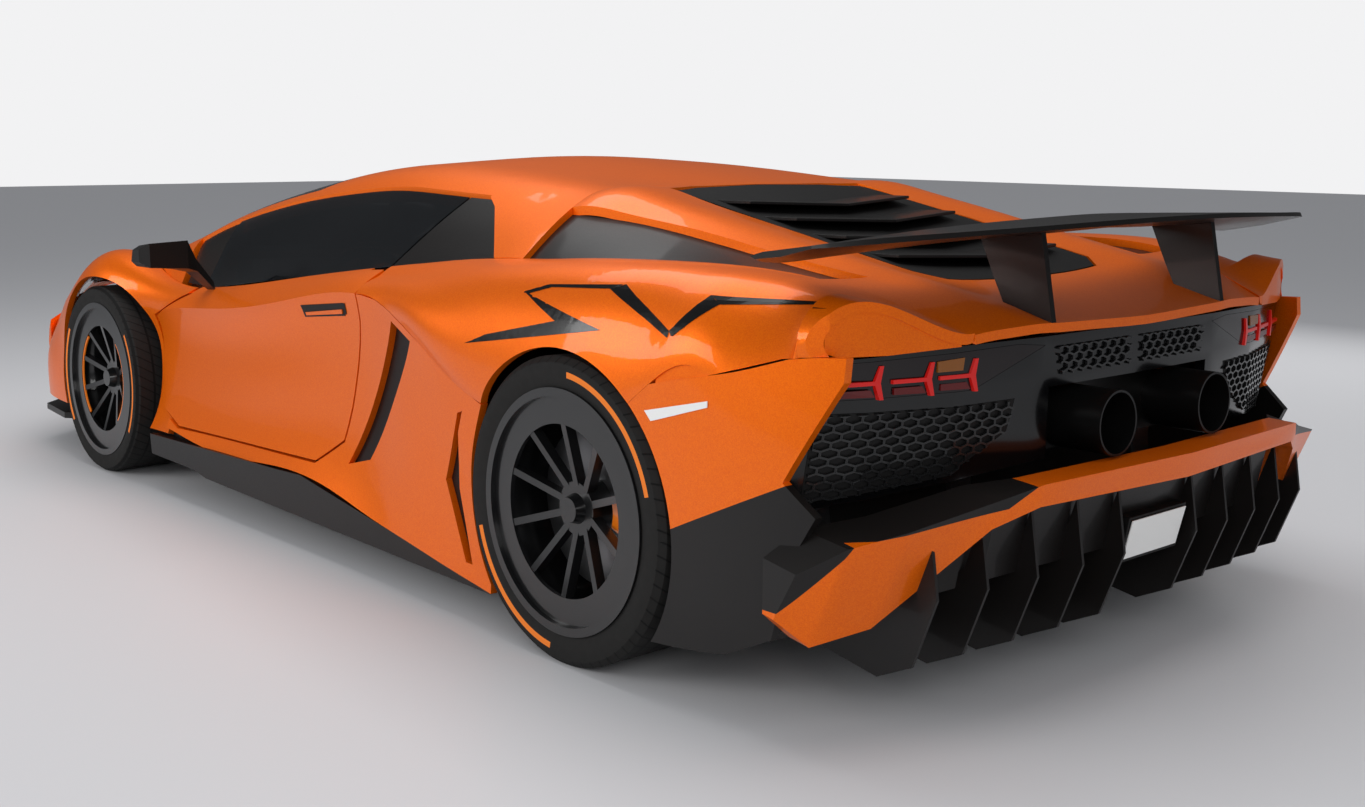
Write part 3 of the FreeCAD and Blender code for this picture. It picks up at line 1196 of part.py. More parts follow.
def make_wheel(end, side, name):
    n = wheel_names(end)
    body = doc.addObject("PartDesign::Body", name)
    rim = [("%s * %s" % (a, n["half"]), "%s - %s * dims.rim_flange - %s * dims.rim_wall" % (n["rim"], b,
                                                                                            c))
           for a, b, c in RIM_SHARES]
    revolve_outline(body, name + "_barrel", rim)
    face = "%s - dims.ring_inset" % n["half"]
    ring_low = "%s - dims.ring_width" % n["rim"]
    ring_high = "%s - dims.rim_flange - dims.rim_wall / 2" % n["rim"]
    revolve_outline(body, name + "_ring", [(face, ring_low), (face, ring_high),
                                           (face + " - dims.ring_wall", ring_high),
                                          (face + " - dims.ring_wall", ring_low)])
    hub_face = "%s - dims.hub_face_inset" % n["half"]
    hub_back = "%s - dims.hub_length" % hub_face
    bore = "dims.spindle_radius + dims.running_fit"
    cap = hub_face + " - dims.ring_wall"
    revolve_outline(body, name + "_hub", [(hub_back, bore), (cap, bore), (cap, "0"),
                                          (hub_face + " + dims.nut_length", "0"),
                                         (hub_face + " + dims.nut_length",
                                          "dims.nut_radius * dims.nut_taper"),
                                         (hub_face, "dims.nut_radius"), (hub_face, "dims.hub_radius"),
                                         (hub_back, "dims.hub_radius")])
    spoke = pad_outline(body, name + "_spoke", "YZ_Plane",
                        [(face, ring_low + " + dims.rim_wall"),
                         (face + " - dims.spoke_depth", ring_low + " + dims.rim_wall"),
                         (hub_face + " - dims.spoke_depth", "dims.hub_radius - dims.rim_wall"),
                         (hub_face, "dims.hub_radius - dims.rim_wall")], "dims.spoke_width")
    pattern = body.newObject("PartDesign::PolarPattern", name + "_spokes")
    pattern.Originals = [spoke]
    pattern.Axis = (body_plane(body, "Y_Axis"), [""])
    pattern.Angle = 360.0
    pattern.setExpression("Occurrences", "dims.spoke_count")
    body.Tip = pattern
    place_wheel(body, end, side)
    return add_object(body, name)


def make_disc(end, side, name):
    n = wheel_names(end)
    body = doc.addObject("PartDesign::Body", name)
    hub_back = "%s - dims.hub_face_inset - dims.hub_length" % n["half"]
    bore = "dims.spindle_radius + dims.running_fit"
    revolve_outline(body, name + "_rotor", [(hub_back, bore), (hub_back, n["disc"]),
                                           (hub_back + " - dims.disc_wall", n["disc"]),
                                           (hub_back + " - dims.disc_wall", bore)])
    place_wheel(body, end, side)
    return add_object(body, name)


def sector(radius, low, high, half_angle):
    """Pie slice about the Y axis, centred on the rearward direction."""
    start = FreeCAD.Rotation(Vec(0, 1, 0), 0)
    slice_shape = Part.makeCylinder(radius, high - low, Vec(0, 0, 0), Vec(0, 0, 1), 2 * half_angle)
    slice_shape.rotate(Vec(0, 0, 0), Vec(0, 0, 1), 180 - half_angle)
    slice_shape.rotate(Vec(0, 0, 0), Vec(1, 0, 0), -90)
    slice_shape.translate(Vec(0, low, 0))
    return slice_shape


def upright_shapes(end):
    """Upright with its spindle and the caliper beside it, in the wheel's own frame."""
    half = getattr(dims, end + "_rim_width") / 2
    disc_radius = getattr(dims, end + "_disc_radius")
    hub_face = half - dims.hub_face_inset
    disc_front = hub_face - dims.hub_length
    disc_back = disc_front - dims.disc_wall
    block_front = disc_back - dims.disc_gap
    block_back = block_front - dims.upright_depth
    wide, tall = dims.upright_width / 2, dims.upright_height / 2
    block = box(-wide, wide, block_back, block_front, -tall, tall)
    spindle = rod(dims.spindle_radius, Vec(0, block_back, 0), Vec(0,
                                                                  hub_face - dims.ring_wall - dims.disc_gap, 0))
    pad_back = block_front - dims.caliper_wall
    bracket = box(-disc_radius + dims.caliper_wall, 0, block_back, pad_back - dims.seat_gap, -wide, wide)
    upright = fuse([block, spindle, bracket])
    outer = disc_radius + dims.disc_gap + dims.caliper_wall / 2
    inner = disc_radius - dims.caliper_depth
    pad_front = disc_front + dims.disc_gap + dims.caliper_wall
    half_angle = math.degrees(math.asin(dims.caliper_span / disc_radius))
    caliper = sector(outer, pad_back, pad_front, half_angle)
    caliper = caliper.cut(sector(inner, pad_back - dims.overrun, pad_front + dims.overrun, 180))
    slot = sector(disc_radius + dims.disc_gap, disc_back - dims.disc_gap, disc_front + dims.disc_gap, 180)
    caliper = solid_of(caliper.cut(slot))
    return upright, caliper, (block_back, block_front, tall)


def placed(shape, end, side):
    """A shape from a wheel's own frame, moved to its hub; the right side is a mirror image."""
    if end == "front":
        hub = Vec(FRONT_AXLE, dims.front_track / 2, dims.front_tyre_radius)
    else:
        hub = Vec(REAR_AXLE, dims.rear_track / 2, dims.rear_tyre_radius)
    moved = shape.copy()
    moved.translate(hub)
    return moved if side > 0 else flip(moved)


for end, side, label in (("front", 1, "front_left"), ("front", -1, "front_right"),
                         ("rear", 1, "rear_left"), ("rear", -1, "rear_right")):
    make_tyre(end, side, "tyre_" + label)
    make_wheel(end, side, "wheel_" + label)
    make_disc(end, side, "brake_disc_" + label)

# Front uprights turn about the kingpin line; rear uprights are fixed.
front_upright, front_caliper, front_block = upright_shapes("front")
rear_upright, rear_caliper, rear_block = upright_shapes("rear")
kingpin_side = (front_block[0] + front_block[1]) / 2
pin_depth = dims.kingpin_depth
for way in (1, -1):
    end_height = way * front_block[2]
    bore = rod(dims.kingpin_radius + dims.running_fit, Vec(0, kingpin_side, end_height),
               Vec(0, kingpin_side, end_height - way * pin_depth))
    front_upright = front_upright.cut(bore)
front_upright = solid_of(front_upright)
for side, label in ((1, "left"), (-1, "right")):
    add_shape("upright_front_" + label, placed(front_upright, "front", side))
    add_shape("caliper_front_" + label, placed(front_caliper, "front", side))
add_shape("uprights_rear", both(placed(rear_upright, "rear", 1)))
add_shape("calipers_rear", both(placed(rear_caliper, "rear", 1)))

arm_radius = dims.arm_width / 2
eye_radius = dims.kingpin_radius * 2
rail_outer = dims.rail_inner + dims.rail_width
rail_side = box(REAR_END, FRONT_END, 0, rail_outer + dims.seat_gap, 0, HIGH)


def wishbone(way):
    """Front wishbone with its eye and joint pin, above or below the upright."""
    hub_side, hub_high = dims.front_track / 2, dims.front_tyre_radius
    axis_side = hub_side + kingpin_side
    face = hub_high + way * (front_block[2] + dims.moving_gap)
    far = face + way * dims.arm_height
    eye = rod(eye_radius, Vec(FRONT_AXLE, axis_side, face), Vec(FRONT_AXLE, axis_side, far))
    tip = hub_high + way * (front_block[2] - pin_depth + dims.moving_gap)
    pin = rod(dims.kingpin_radius, Vec(FRONT_AXLE, axis_side, tip), Vec(FRONT_AXLE, axis_side, far))
    middle = Vec(FRONT_AXLE, axis_side, (face + far) / 2)
    pieces = [eye, pin]
    rail_height = dims.rail_bottom + dims.rail_height / 2 if way < 0 else dims.rail_bottom + dims.post_height
    for lean in (-1, 1):
        foot = Vec(FRONT_AXLE + lean * dims.arm_spread, rail_outer + dims.seat_gap, rail_height)
        pieces.append(rod(arm_radius / 2, foot, middle))
    return cut(fuse(pieces), [rail_side])




def rear_arm(way):
    """Rear wishbone from the rail to the fixed upright."""
    hub_side, hub_high = dims.rear_track / 2, dims.rear_tyre_radius
    back = hub_side + rear_block[0] - dims.seat_gap
    height = hub_high + way * (rear_block[2] - dims.arm_height)
    rail_height = dims.rail_bottom + dims.rail_height / 2 if way < 0 else dims.rail_bottom + dims.post_height
    pieces = [box(REAR_AXLE - dims.upright_width / 2, REAR_AXLE + dims.upright_width / 2,
                  back - dims.arm_height, back,
                  height - dims.arm_height / 2, height + dims.arm_height / 2)]
    middle = Vec(REAR_AXLE, back - dims.arm_height / 2, height)
    for lean in (-1, 1):
        foot = Vec(REAR_AXLE + lean * dims.arm_spread, rail_outer + dims.seat_gap, rail_height)
        pieces.append(rod(arm_radius / 2, foot, middle))
    return cut(fuse(pieces), [rail_side])


arms = []
for way in (1, -1):
    arms += both(wishbone(way)).Solids + both(rear_arm(way)).Solids
add_shape("wishbones", Part.makeCompound(arms))


# Chassis made of boxes bound to the sheet.
def bound_box(name, low, high):
    """Box between two corners, each given as three sheet expressions."""
    piece = doc.addObject("Part::Box", name)
    for side, a, b in zip(("Length", "Width", "Height"), low, high):
        piece.setExpression(side, "(%s) - (%s)" % (b, a))
    for axis, a in zip("xyz", low):
        piece.setExpression("Placement.Base.%s" % axis, a)
    return piece


def joined(name, pieces):
    whole = doc.addObject("Part::MultiFuse", name + "_join")
    whole.Shapes = pieces
    clean = doc.addObject("Part::Refine", name)
    clean.Source = whole
    return add_object(clean, name)


LENGTH = "((dims.rear_overhang + dims.wheelbase + dims.front_overhang) / 2)"
FRONT_X = "(%s - dims.front_overhang)" % LENGTH
REAR_X = "(dims.rear_overhang - %s)" % LENGTH
BULK_REAR = "(%s + dims.cabin_back)" % REAR_X
BULK_FRONT = "(%s - dims.cabin_front)" % FRONT_X
FLOOR_TOP = "(dims.ride_height + dims.floor_wall)"
tub_parts = [
    bound_box("floor", (BULK_REAR, "-dims.tub_half", "dims.ride_height"),
              (BULK_FRONT, "dims.tub_half", FLOOR_TOP)),
    bound_box("rear_bulkhead", (BULK_REAR, "-dims.bulkhead_half", "dims.ride_height"),
              (BULK_REAR + " + dims.bulkhead_wall", "dims.bulkhead_half", "dims.bulkhead_top")),
    bound_box("front_bulkhead", (BULK_FRONT + " - dims.bulkhead_wall", "-dims.front_half",
                                 "dims.ride_height"),
              (BULK_FRONT, "dims.front_half", "dims.cowl_top")),
    bound_box("tunnel", (BULK_REAR, "-dims.tunnel_half", "dims.ride_height"),
              (BULK_FRONT, "dims.tunnel_half", "dims.tunnel_top")),
]
for side, sign in (("left", ""), ("right", "-")):
    edge = "dims.sill_half" if side == "left" else "-dims.tub_half"
    start = "dims.tub_half" if side == "left" else "-dims.sill_half"
    tub_parts.append(bound_box("sill_" + side, (BULK_REAR, start, "dims.ride_height"),
                               ("dims.sill_front", edge, "dims.sill_top")))
    edge = "dims.tub_half + dims.sill_inner_wall" if side == "left" else "-dims.tub_half"
    start = "dims.tub_half" if side == "left" else "-dims.tub_half - dims.sill_inner_wall"
    tub_parts.append(bound_box("inner_sill_" + side, (BULK_REAR, start, "dims.ride_height"),
                               ("dims.sill_front", edge, "dims.sill_inner_top")))
    edge = "dims.post_half" if side == "left" else "-dims.front_half + dims.bulkhead_wall"
    start = "dims.front_half - dims.bulkhead_wall" if side == "left" else "-dims.post_half"
    tub_parts.append(bound_box("hinge_post_" + side, ("dims.post_back", start, "dims.ride_height"),
                               ("dims.post_front", edge, "dims.post_top")))
    edge = "dims.front_half" if side == "left" else "-dims.front_half + dims.bulkhead_wall"
    start = "dims.front_half - dims.bulkhead_wall" if side == "left" else "-dims.front_half"
    tub_parts.append(bound_box("foot_wall_" + side, ("dims.post_back", start, "dims.ride_height"),
                               (BULK_FRONT, edge, "dims.post_top")))
joined("tub", tub_parts)

RAIL_TOP = "dims.rail_bottom + dims.rail_height"
RAIL_FRONT = "(%s + dims.rail_reach_front)" % FRONT_X
RAIL_BACK = "(%s - dims.rail_reach_rear)" % REAR_X
frame_parts = {"front": [], "rear": []}
for side in ("left", "right"):
    start = "dims.rail_inner" if side == "left" else "-dims.rail_inner - dims.rail_width"
    edge = "dims.rail_inner + dims.rail_width" if side == "left" else "-dims.rail_inner"
    frame_parts["front"].append(bound_box("front_rail_" + side, (BULK_FRONT, start, "dims.rail_bottom"),
                                          (RAIL_FRONT, edge, RAIL_TOP)))
    frame_parts["rear"].append(bound_box("rear_rail_" + side, (RAIL_BACK, start, "dims.rail_bottom"),
                                         (BULK_REAR, edge, RAIL_TOP)))
    frame_parts["rear"].append(bound_box("silencer_hanger_" + side, (RAIL_BACK, start, RAIL_TOP),
                                         (RAIL_BACK + " + dims.hanger_width", edge,
                                          "dims.outlet_height - dims.outlet_radius - dims.seat_gap")))
    for end, axle in (("front", FRONT_X), ("rear", REAR_X)):
        frame_parts[end].append(bound_box("%s_arm_post_%s" % (end, side),
                                          (axle + " - dims.arm_spread - dims.arm_width", start,
                                           "dims.rail_bottom"),
                                          (axle + " + dims.arm_spread + dims.arm_width", edge,
                                           "dims.rail_bottom + dims.post_height + dims.arm_width")))
for end, places_x in (("front", ("%s - dims.rail_width" % RAIL_FRONT,
                                 "%s - dims.rail_width / 2" % FRONT_X)),
                      ("rear", (RAIL_BACK, "%s - dims.rail_width / 2" % REAR_X))):
    for i, place in enumerate(places_x):
        top = RAIL_TOP if i == 0 else "dims.rail_bottom + dims.rail_low"
        frame_parts[end].append(bound_box("%s_cross_%d" % (end, i),
                                          (place, "-dims.rail_inner", "dims.rail_bottom"),
                                          ("%s + dims.rail_width" % place, "dims.rail_inner", top)))
joined("subframes", frame_parts["front"] + frame_parts["rear"])

tray_low = "dims.ride_height"
tray_top = "dims.ride_height + dims.tray_wall"
joined("undertray", [
    bound_box("front_tray", (BULK_FRONT + " + dims.seat_gap", "-dims.tray_half", tray_low),
              ("%s + dims.tray_reach_front" % FRONT_X, "dims.tray_half", tray_top)),
    bound_box("rear_tray", ("%s - dims.tray_reach_rear" % REAR_X, "-dims.tray_half", tray_low),
              (BULK_REAR + " - dims.seat_gap", "dims.tray_half", tray_top)),
])

ENGINE_LOW = "(dims.rail_bottom + dims.rail_low + dims.seat_gap)"
engine = bound_box("engine_block", (BULK_REAR + " - dims.engine_gap - dims.engine_length",
                                    "-dims.engine_half", ENGINE_LOW),
                   (BULK_REAR + " - dims.engine_gap", "dims.engine_half", "dims.engine_top"))
gearbox = bound_box("gearbox_case",
                    (BULK_REAR + " - dims.engine_gap - dims.engine_length - dims.gearbox_length",
                                     "-dims.gearbox_half", ENGINE_LOW),
                    (BULK_REAR + " - dims.engine_gap - dims.engine_length - dims.seat_gap",
                     "dims.gearbox_half", "dims.gearbox_top"))
joined("engine", [engine, gearbox])

# Seats: the side outline padded to the seat's width.
SEAT_OUTLINE = [("-dims.seat_length", "0"), ("dims.seat_wall", "0"), ("dims.seat_wall", "dims.seat_pan"),
                ("-dims.seat_length + dims.seat_wall * 2", "dims.seat_pan - dims.seat_wall"),
                ("-dims.seat_length - dims.seat_lean + dims.seat_wall", "dims.seat_back"),
                ("-dims.seat_length - dims.seat_lean", "dims.seat_back"),
                ("-dims.seat_length - dims.seat_wall", "dims.seat_pan")]
seat_body = doc.addObject("PartDesign::Body", "seat_left")
pad_outline(seat_body, "seat_left_pad", "XZ_Plane", SEAT_OUTLINE, "dims.seat_width")
doc.recompute()
seat_place = Vec(REAR_AXLE + dims.cabin_back + dims.bulkhead_wall + dims.seat_length + dims.seat_lean + dims.seat_wall,
                 dims.seat_side, dims.ride_height + dims.floor_wall + dims.seat_gap)
seat = seat_body.Shape.copy()
seat.translate(seat_place)
add_shape("seats", both(seat))

dash_body = doc.addObject("PartDesign::Body", "dash_body")
DASH_OUTLINE = [("0", "0"), ("0", "dims.dash_height"), ("-dims.dash_depth * dims.dash_top_share",
                                                        "dims.dash_height * dims.dash_lip_share"),
                ("-dims.dash_depth", "dims.dash_height * dims.dash_nose_share"),
                ("-dims.dash_depth * dims.dash_knee_share", "dims.dash_height * dims.dash_low_share")]
pad_outline(dash_body, "dashboard_pad", "XZ_Plane", DASH_OUTLINE,
            "2 * (dims.front_half - dims.bulkhead_wall - dims.seat_gap)")
doc.recompute()
dash = dash_body.Shape.copy()
dash.translate(Vec(FRONT_AXLE - dims.cabin_front - dims.bulkhead_wall - dims.seat_gap, 0,
                   dims.tunnel_top + dims.seat_gap))
column_way = Vec(-math.cos(math.radians(dims.column_tilt)), 0, math.sin(math.radians(dims.column_tilt)))
wheel_hub = Vec(dims.steer_place, dims.seat_side, dims.steer_height)
column_start = wheel_hub - column_way * dims.column_length
column = rod(dims.column_radius, column_start, wheel_hub - column_way * dims.steer_hub_wall)
pin = rod(dims.column_radius / 2, column_start, wheel_hub + column_way * dims.steer_hub_wall / 2)
add_shape("dashboard", fuse([dash, column, pin]))


def steering_wheel():
    """Rim, three spokes and a bored hub, made flat and then turned to the column."""
    rim = Part.makeTorus(dims.steer_radius, dims.steer_grip)
    hub = Part.makeCylinder(dims.steer_hub_radius, dims.steer_hub_wall * 2,
                            Vec(0, 0, -dims.steer_hub_wall))
    spokes = []
    for angle in (0, 90, 180):
        spoke = box(0, dims.steer_radius, -dims.steer_grip, dims.steer_grip, -dims.steer_grip / 2,
                    dims.steer_grip / 2)
        spoke.rotate(Vec(0, 0, 0), Vec(0, 0, 1), angle)
        spokes.append(spoke)
    whole = fuse([rim, hub] + spokes)
    bore = Part.makeCylinder(dims.column_radius / 2 + dims.running_fit,
                             dims.steer_bore_depth + dims.running_fit,
                             Vec(0, 0, -dims.steer_hub_wall))
    whole = cut(whole, [bore])
    turn = FreeCAD.Rotation(Vec(0, 0, 1), column_way)
    whole.Placement = FreeCAD.Placement(wheel_hub, turn)
    return whole


add_shape("steering_wheel", steering_wheel())

# Door hinges: a pin on each hinge post, in a bore through the door.
hinge_place = Vec(at_length(HINGE_SHARES[0]), dims.post_half, at_height(HINGE_SHARES[1]))
tilt, yaw = math.radians(dims.hinge_tilt), math.radians(dims.hinge_yaw)
hinge_way = Vec(-math.sin(yaw) * math.cos(tilt), math.cos(yaw) * math.cos(tilt), -math.sin(tilt))
hinge_start = hinge_place - hinge_way * dims.bulkhead_wall / 2
hinge_end = hinge_place + hinge_way * dims.hinge_length
hinge_pin = rod(dims.hinge_radius, hinge_start, hinge_end)
hinge_bore = rod(dims.hinge_radius + dims.running_fit, hinge_start - hinge_way * dims.overrun,
                 hinge_end + hinge_way * dims.seam_gap)
hinge_pin = cut(hinge_pin, [box(dims.post_back, dims.post_front, 0, dims.post_half, 0, HIGH)])
door = keep(door_body, outside_belt)
door = cut(door, [hinge_bore])
for side, label in ((1, "left"), (-1, "right")):
    add_shape("door_" + label, door if side > 0 else flip(door))

# Mirrors on the front corners of the doors.
MIRROR_SHARES = [
    (0.843, [(1.749, 0.607), (1.768, 0.604), (1.765, 0.630), (1.754, 0.632)]),
    (0.916, [(1.738, 0.669), (1.771, 0.662), (1.768, 0.704), (1.742, 0.704)]),
    (0.956, [(1.729, 0.680), (1.774, 0.671), (1.768, 0.748), (1.731, 0.759)]),
    (1.084, [(1.725, 0.688), (1.764, 0.687), (1.756, 0.746), (1.727, 0.755)]),
    (1.113, [(1.731, 0.704), (1.753, 0.704), (1.749, 0.736), (1.732, 0.739)]),
]
mirror = loft_across([[Vec(p.x, at_side(s), p.z) for p in side_points(points)] for s,
                      points in MIRROR_SHARES], True)
mirror = cut(mirror, [door])
for side, label in ((1, "left"), (-1, "right")):
    add_shape("mirror_" + label, mirror if side > 0 else flip(mirror))


# Lids: each turns on two pins close under its own skin.
def underside(shape, place, side):
    """Lowest height of a skin above one point of the plan."""
    probe = Part.makeLine(Vec(place, side, 0), Vec(place, side, HIGH))
    return min(vertex.Point.z for vertex in shape.common(probe).Vertexes)


def lid_with_eyes(panel, place, sides):
    """Adds hinge eyes under a lid; returns the lid, the pins and the height of their axis."""
    radius, half = dims.lid_hinge_radius, dims.lid_hinge_length / 2
    reach = 2 * radius
    probes = [underside(panel, place + along, sides[0] + along_side)
              for along in (-reach, reach) for along_side in (-half - reach, half)]
    height = min(probes) - dims.lid_hinge_clear - radius
    eyes, pins, bores = [], [], []
    for side in sides:
        start, end = Vec(place, side - half, height), Vec(place, side + half, height)
        eye = rod(reach, start, end)
        web = box(place - radius, place + radius, side - half, side + half, height, max(probes) + radius)
        eyes += [eye, web]
        inward = -1 if side > 0 else 1
        pin_start = Vec(place, side - inward * half, height)
        pin_end = Vec(place, side + inward * (half + dims.overrun), height)
        pins.append(rod(radius, pin_start, pin_end))
        bores.append(rod(radius + dims.running_fit, pin_start, pin_end))
    return cut(fuse([panel] + eyes), bores), pins, height


def bracket_sides(side):
    """Side places of the plate that holds a pin, inboard of its eye."""
    inward = -1 if side > 0 else 1
    near = side + inward * (dims.lid_hinge_length / 2 + dims.moving_gap)
    return near, near + inward * (dims.overrun - dims.moving_gap)


lid_place = at_length(FRONT_LID_SHARES[3][0]) + dims.lid_hinge_gap + dims.lid_hinge_inset
lid_side = dims.rail_inner + dims.rail_width + dims.moving_gap + dims.lid_hinge_length / 2
lid_sides = (lid_side, -lid_side)
lid_whole, lid_pins, lid_height = lid_with_eyes(lid, lid_place, lid_sides)
add_shape("front_lid", lid_whole)
brackets = []
for side, pin in zip(lid_sides, lid_pins):
    near, far = bracket_sides(side)
    brackets.append(fuse([pin, box(lid_place - dims.bracket_half, lid_place + dims.bracket_half, near,
                                   far,
                                   dims.rail_bottom + dims.post_height + dims.arm_width + dims.seat_gap,
                                   lid_height + dims.lid_hinge_radius)]))

# Engine cover: hinged under the roof's back edge, on arms from the bulkhead.
cover_place = cover_points[2].x - dims.lid_hinge_gap - dims.lid_hinge_inset
cover_sides = (dims.bulkhead_half / 2, -dims.bulkhead_half / 2)
cover_whole, cover_pins, cover_height = lid_with_eyes(engine_cover, cover_place, cover_sides)
add_shape("engine_cover", cover_whole)
bulk_back = REAR_AXLE + dims.cabin_back - dims.seat_gap
arm_top = cover_height - dims.cover_arm_drop
arm_low = arm_top - dims.arm_width
for side, pin in zip(cover_sides, cover_pins):
    near, far = bracket_sides(side)
    brackets.append(fuse([pin, box(cover_place - dims.bracket_half, cover_place + dims.bracket_half, near,
                                   far,
                                   arm_low, cover_height + dims.lid_hinge_radius),
                          box(cover_place - dims.bracket_half, bulk_back, near, far, arm_low, arm_top)]))
add_shape("hinges", Part.makeCompound([hinge_pin, flip(hinge_pin)] + brackets))

doc.recompute()
bad = [item.Name for item in doc.Objects if "Invalid" in item.State or "Error" in item.State]
if bad:
    raise RuntimeError("objects that failed: " + ", ".join(bad))
for piece in SUBPARTS:
    if piece.Shape.isNull() or not piece.Shape.isValid() or not piece.Shape.Solids:
        raise RuntimeError("sub-part without a sound shape: " + piece.Label)
os.makedirs("parts", exist_ok=True)
for piece in SUBPARTS:
    piece.Shape.exportStep("parts/%s.step" % piece.Label)
print(len(SUBPARTS), "sub-parts written")
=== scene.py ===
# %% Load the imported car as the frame
import json
import math

import bmesh
import bpy
from mathutils import Matrix, Vector


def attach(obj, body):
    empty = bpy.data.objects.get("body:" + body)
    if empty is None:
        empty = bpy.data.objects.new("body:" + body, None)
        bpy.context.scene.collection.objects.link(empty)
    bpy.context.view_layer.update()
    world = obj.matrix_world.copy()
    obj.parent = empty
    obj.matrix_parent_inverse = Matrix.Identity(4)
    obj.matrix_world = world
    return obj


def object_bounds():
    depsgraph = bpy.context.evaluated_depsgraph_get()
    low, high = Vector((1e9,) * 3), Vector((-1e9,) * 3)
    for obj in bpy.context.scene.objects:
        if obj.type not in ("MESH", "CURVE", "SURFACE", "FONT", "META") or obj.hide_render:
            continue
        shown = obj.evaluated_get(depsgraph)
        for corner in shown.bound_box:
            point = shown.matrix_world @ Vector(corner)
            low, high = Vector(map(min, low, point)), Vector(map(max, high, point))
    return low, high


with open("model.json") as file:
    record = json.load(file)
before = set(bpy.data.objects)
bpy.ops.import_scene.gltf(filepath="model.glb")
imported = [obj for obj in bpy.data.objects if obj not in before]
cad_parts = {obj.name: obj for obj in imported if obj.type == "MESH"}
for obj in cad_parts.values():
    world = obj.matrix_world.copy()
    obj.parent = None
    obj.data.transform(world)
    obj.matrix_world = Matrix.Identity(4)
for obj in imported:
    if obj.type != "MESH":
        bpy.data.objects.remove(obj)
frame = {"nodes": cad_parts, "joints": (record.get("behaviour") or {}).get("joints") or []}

CAD_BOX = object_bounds()

# %% [markdown]
# The car stands with its nose along +X, its left side along +Y and the ground at zero.
# Every size below is in metres. The main stations come from the frame, so that each new
# piece follows the solids: the hubs from the joints, the ends of the body from its box.

# %% Stations of the car
JOINTS = {joint["name"]: joint for joint in frame["joints"]}
HUB = {place: Vector(JOINTS["spin_" + place]["pos_m"])
       for place in ("front_left", "front_right", "rear_left", "rear_right")}
NODES = frame["nodes"]
TAIL_X = min(corner[0] for corner in CAD_BOX)
SIDES = ((1, "left"), (-1, "right"))
print("hubs at", {name: tuple(round(v, 3) for v in hub) for name, hub in HUB.items()})

# %% [markdown]
# The photograph was taken from behind the car's left corner, a little above waist height.
# The camera's place was solved from pairs of points that are mirror images of each other on
# the car, such as the wing's two tips. Its frame is cropped below the lens's own centre, which
# a small vertical shift stands for.

# %% Camera at the photograph's viewing angle
CAMERA_PLACE = Vector((-4.174, 3.106, 1.210))
CAMERA_YAW = math.radians(-42.02)
CAMERA_PITCH = math.radians(-5.81)
CAMERA_ROLL = math.radians(0.35)
PHOTO_WIDTH = 1365
PHOTO_HEIGHT = 807
FOCAL_PIXELS = 1555.5
LENS_CENTRE_ROW = 291.8
SENSOR_WIDTH = 36.0


def aim_axes(yaw, pitch, roll):
    """Right, up and back axes of a camera that looks along a yaw and a pitch."""
    ahead = Vector((math.cos(yaw) * math.cos(pitch), math.sin(yaw) * math.cos(pitch), math.sin(pitch)))
    right = ahead.cross(Vector((0, 0, 1))).normalized()
    up = right.cross(ahead)
    turned_right = math.cos(roll) * right + math.sin(roll) * up
    turned_up = -math.sin(roll) * right + math.cos(roll) * up
    return turned_right, turned_up, -ahead


bpy.ops.object.camera_add()
camera = bpy.context.object
camera.name = "photo_camera"
axes = aim_axes(CAMERA_YAW, CAMERA_PITCH, CAMERA_ROLL)
camera.matrix_world = Matrix.Translation(CAMERA_PLACE) @ Matrix(axes).transposed().to_4x4()
camera.data.sensor_width = SENSOR_WIDTH
camera.data.lens = FOCAL_PIXELS / PHOTO_WIDTH * SENSOR_WIDTH
camera.data.shift_y = (LENS_CENTRE_ROW - PHOTO_HEIGHT / 2) / PHOTO_WIDTH
bpy.context.scene.camera = camera
bpy.context.scene.view_settings.view_transform = "Standard"
print("lens", round(camera.data.lens, 2), "shift", round(camera.data.shift_y, 4))

# %% [markdown]
# Colours are written as sRGB hex values, as a paint chart gives them, and one function turns
# them into the linear values that a shader needs. One more function adds a node to a material,
# sets its values and links its inputs, so that each recipe below reads as a short list.


# %% Colour and node helpers
def linear(hex_colour):
    """Linear RGBA from an sRGB hex colour."""
    channels = [int(hex_colour[i:i + 2], 16) / 255 for i in (1, 3, 5)]
    return tuple(c / 12.92 if c <= 0.04045 else ((c + 0.055) / 1.055) ** 2.4 for c in channels) + (1.0,)


def new_material(name):
    """An empty material and its node tree."""
    material = bpy.data.materials.new(name)
    material.use_nodes = True
    tree = material.node_tree
    tree.nodes.clear()
    return material, tree


def add(tree, kind, inputs=None, **settings):
    """Adds one node, sets its settings and fills its inputs with values or links."""
    node = tree.nodes.new(kind)
    for key, value in settings.items():
        setattr(node, key, value)
    for key, value in (inputs or {}).items():
        socket = node.inputs[key]
        if isinstance(value, bpy.types.NodeSocket):
            tree.links.new(value, socket)
        else:
            socket.default_value = value
    return node


def finish(tree, surface):
    """Ends a recipe: the surface goes to the output."""
    add(tree, "ShaderNodeOutputMaterial", {"Surface": surface.outputs[0]})


# %% [markdown]
# The body is sprayed in a pearl orange: a metallic-flake base under a thick clear lacquer.
# The flakes are about half a millimetre apart, too fine to show at this distance, so they are
# drawn two millimetres apart and faint. The lacquer's slight waviness is orange peel, a bump
# with a pitch of about six millimetres. The eye gets an even orange glow with clear streaks on it.

# %% Pearl orange paint
PEARL_ORANGE = "#FA7600"
PEARL_SHADE = "#EC6000"
FLAKE_PITCH = 0.002
PEEL_PITCH = 0.006
PEEL_HEIGHT = 0.00002
LACQUERED = {"Metallic": 0.5, "Roughness": 0.40, "Coat Weight": 0.35, "Coat Roughness": 0.03,
             "Specular IOR Level": 0.2}


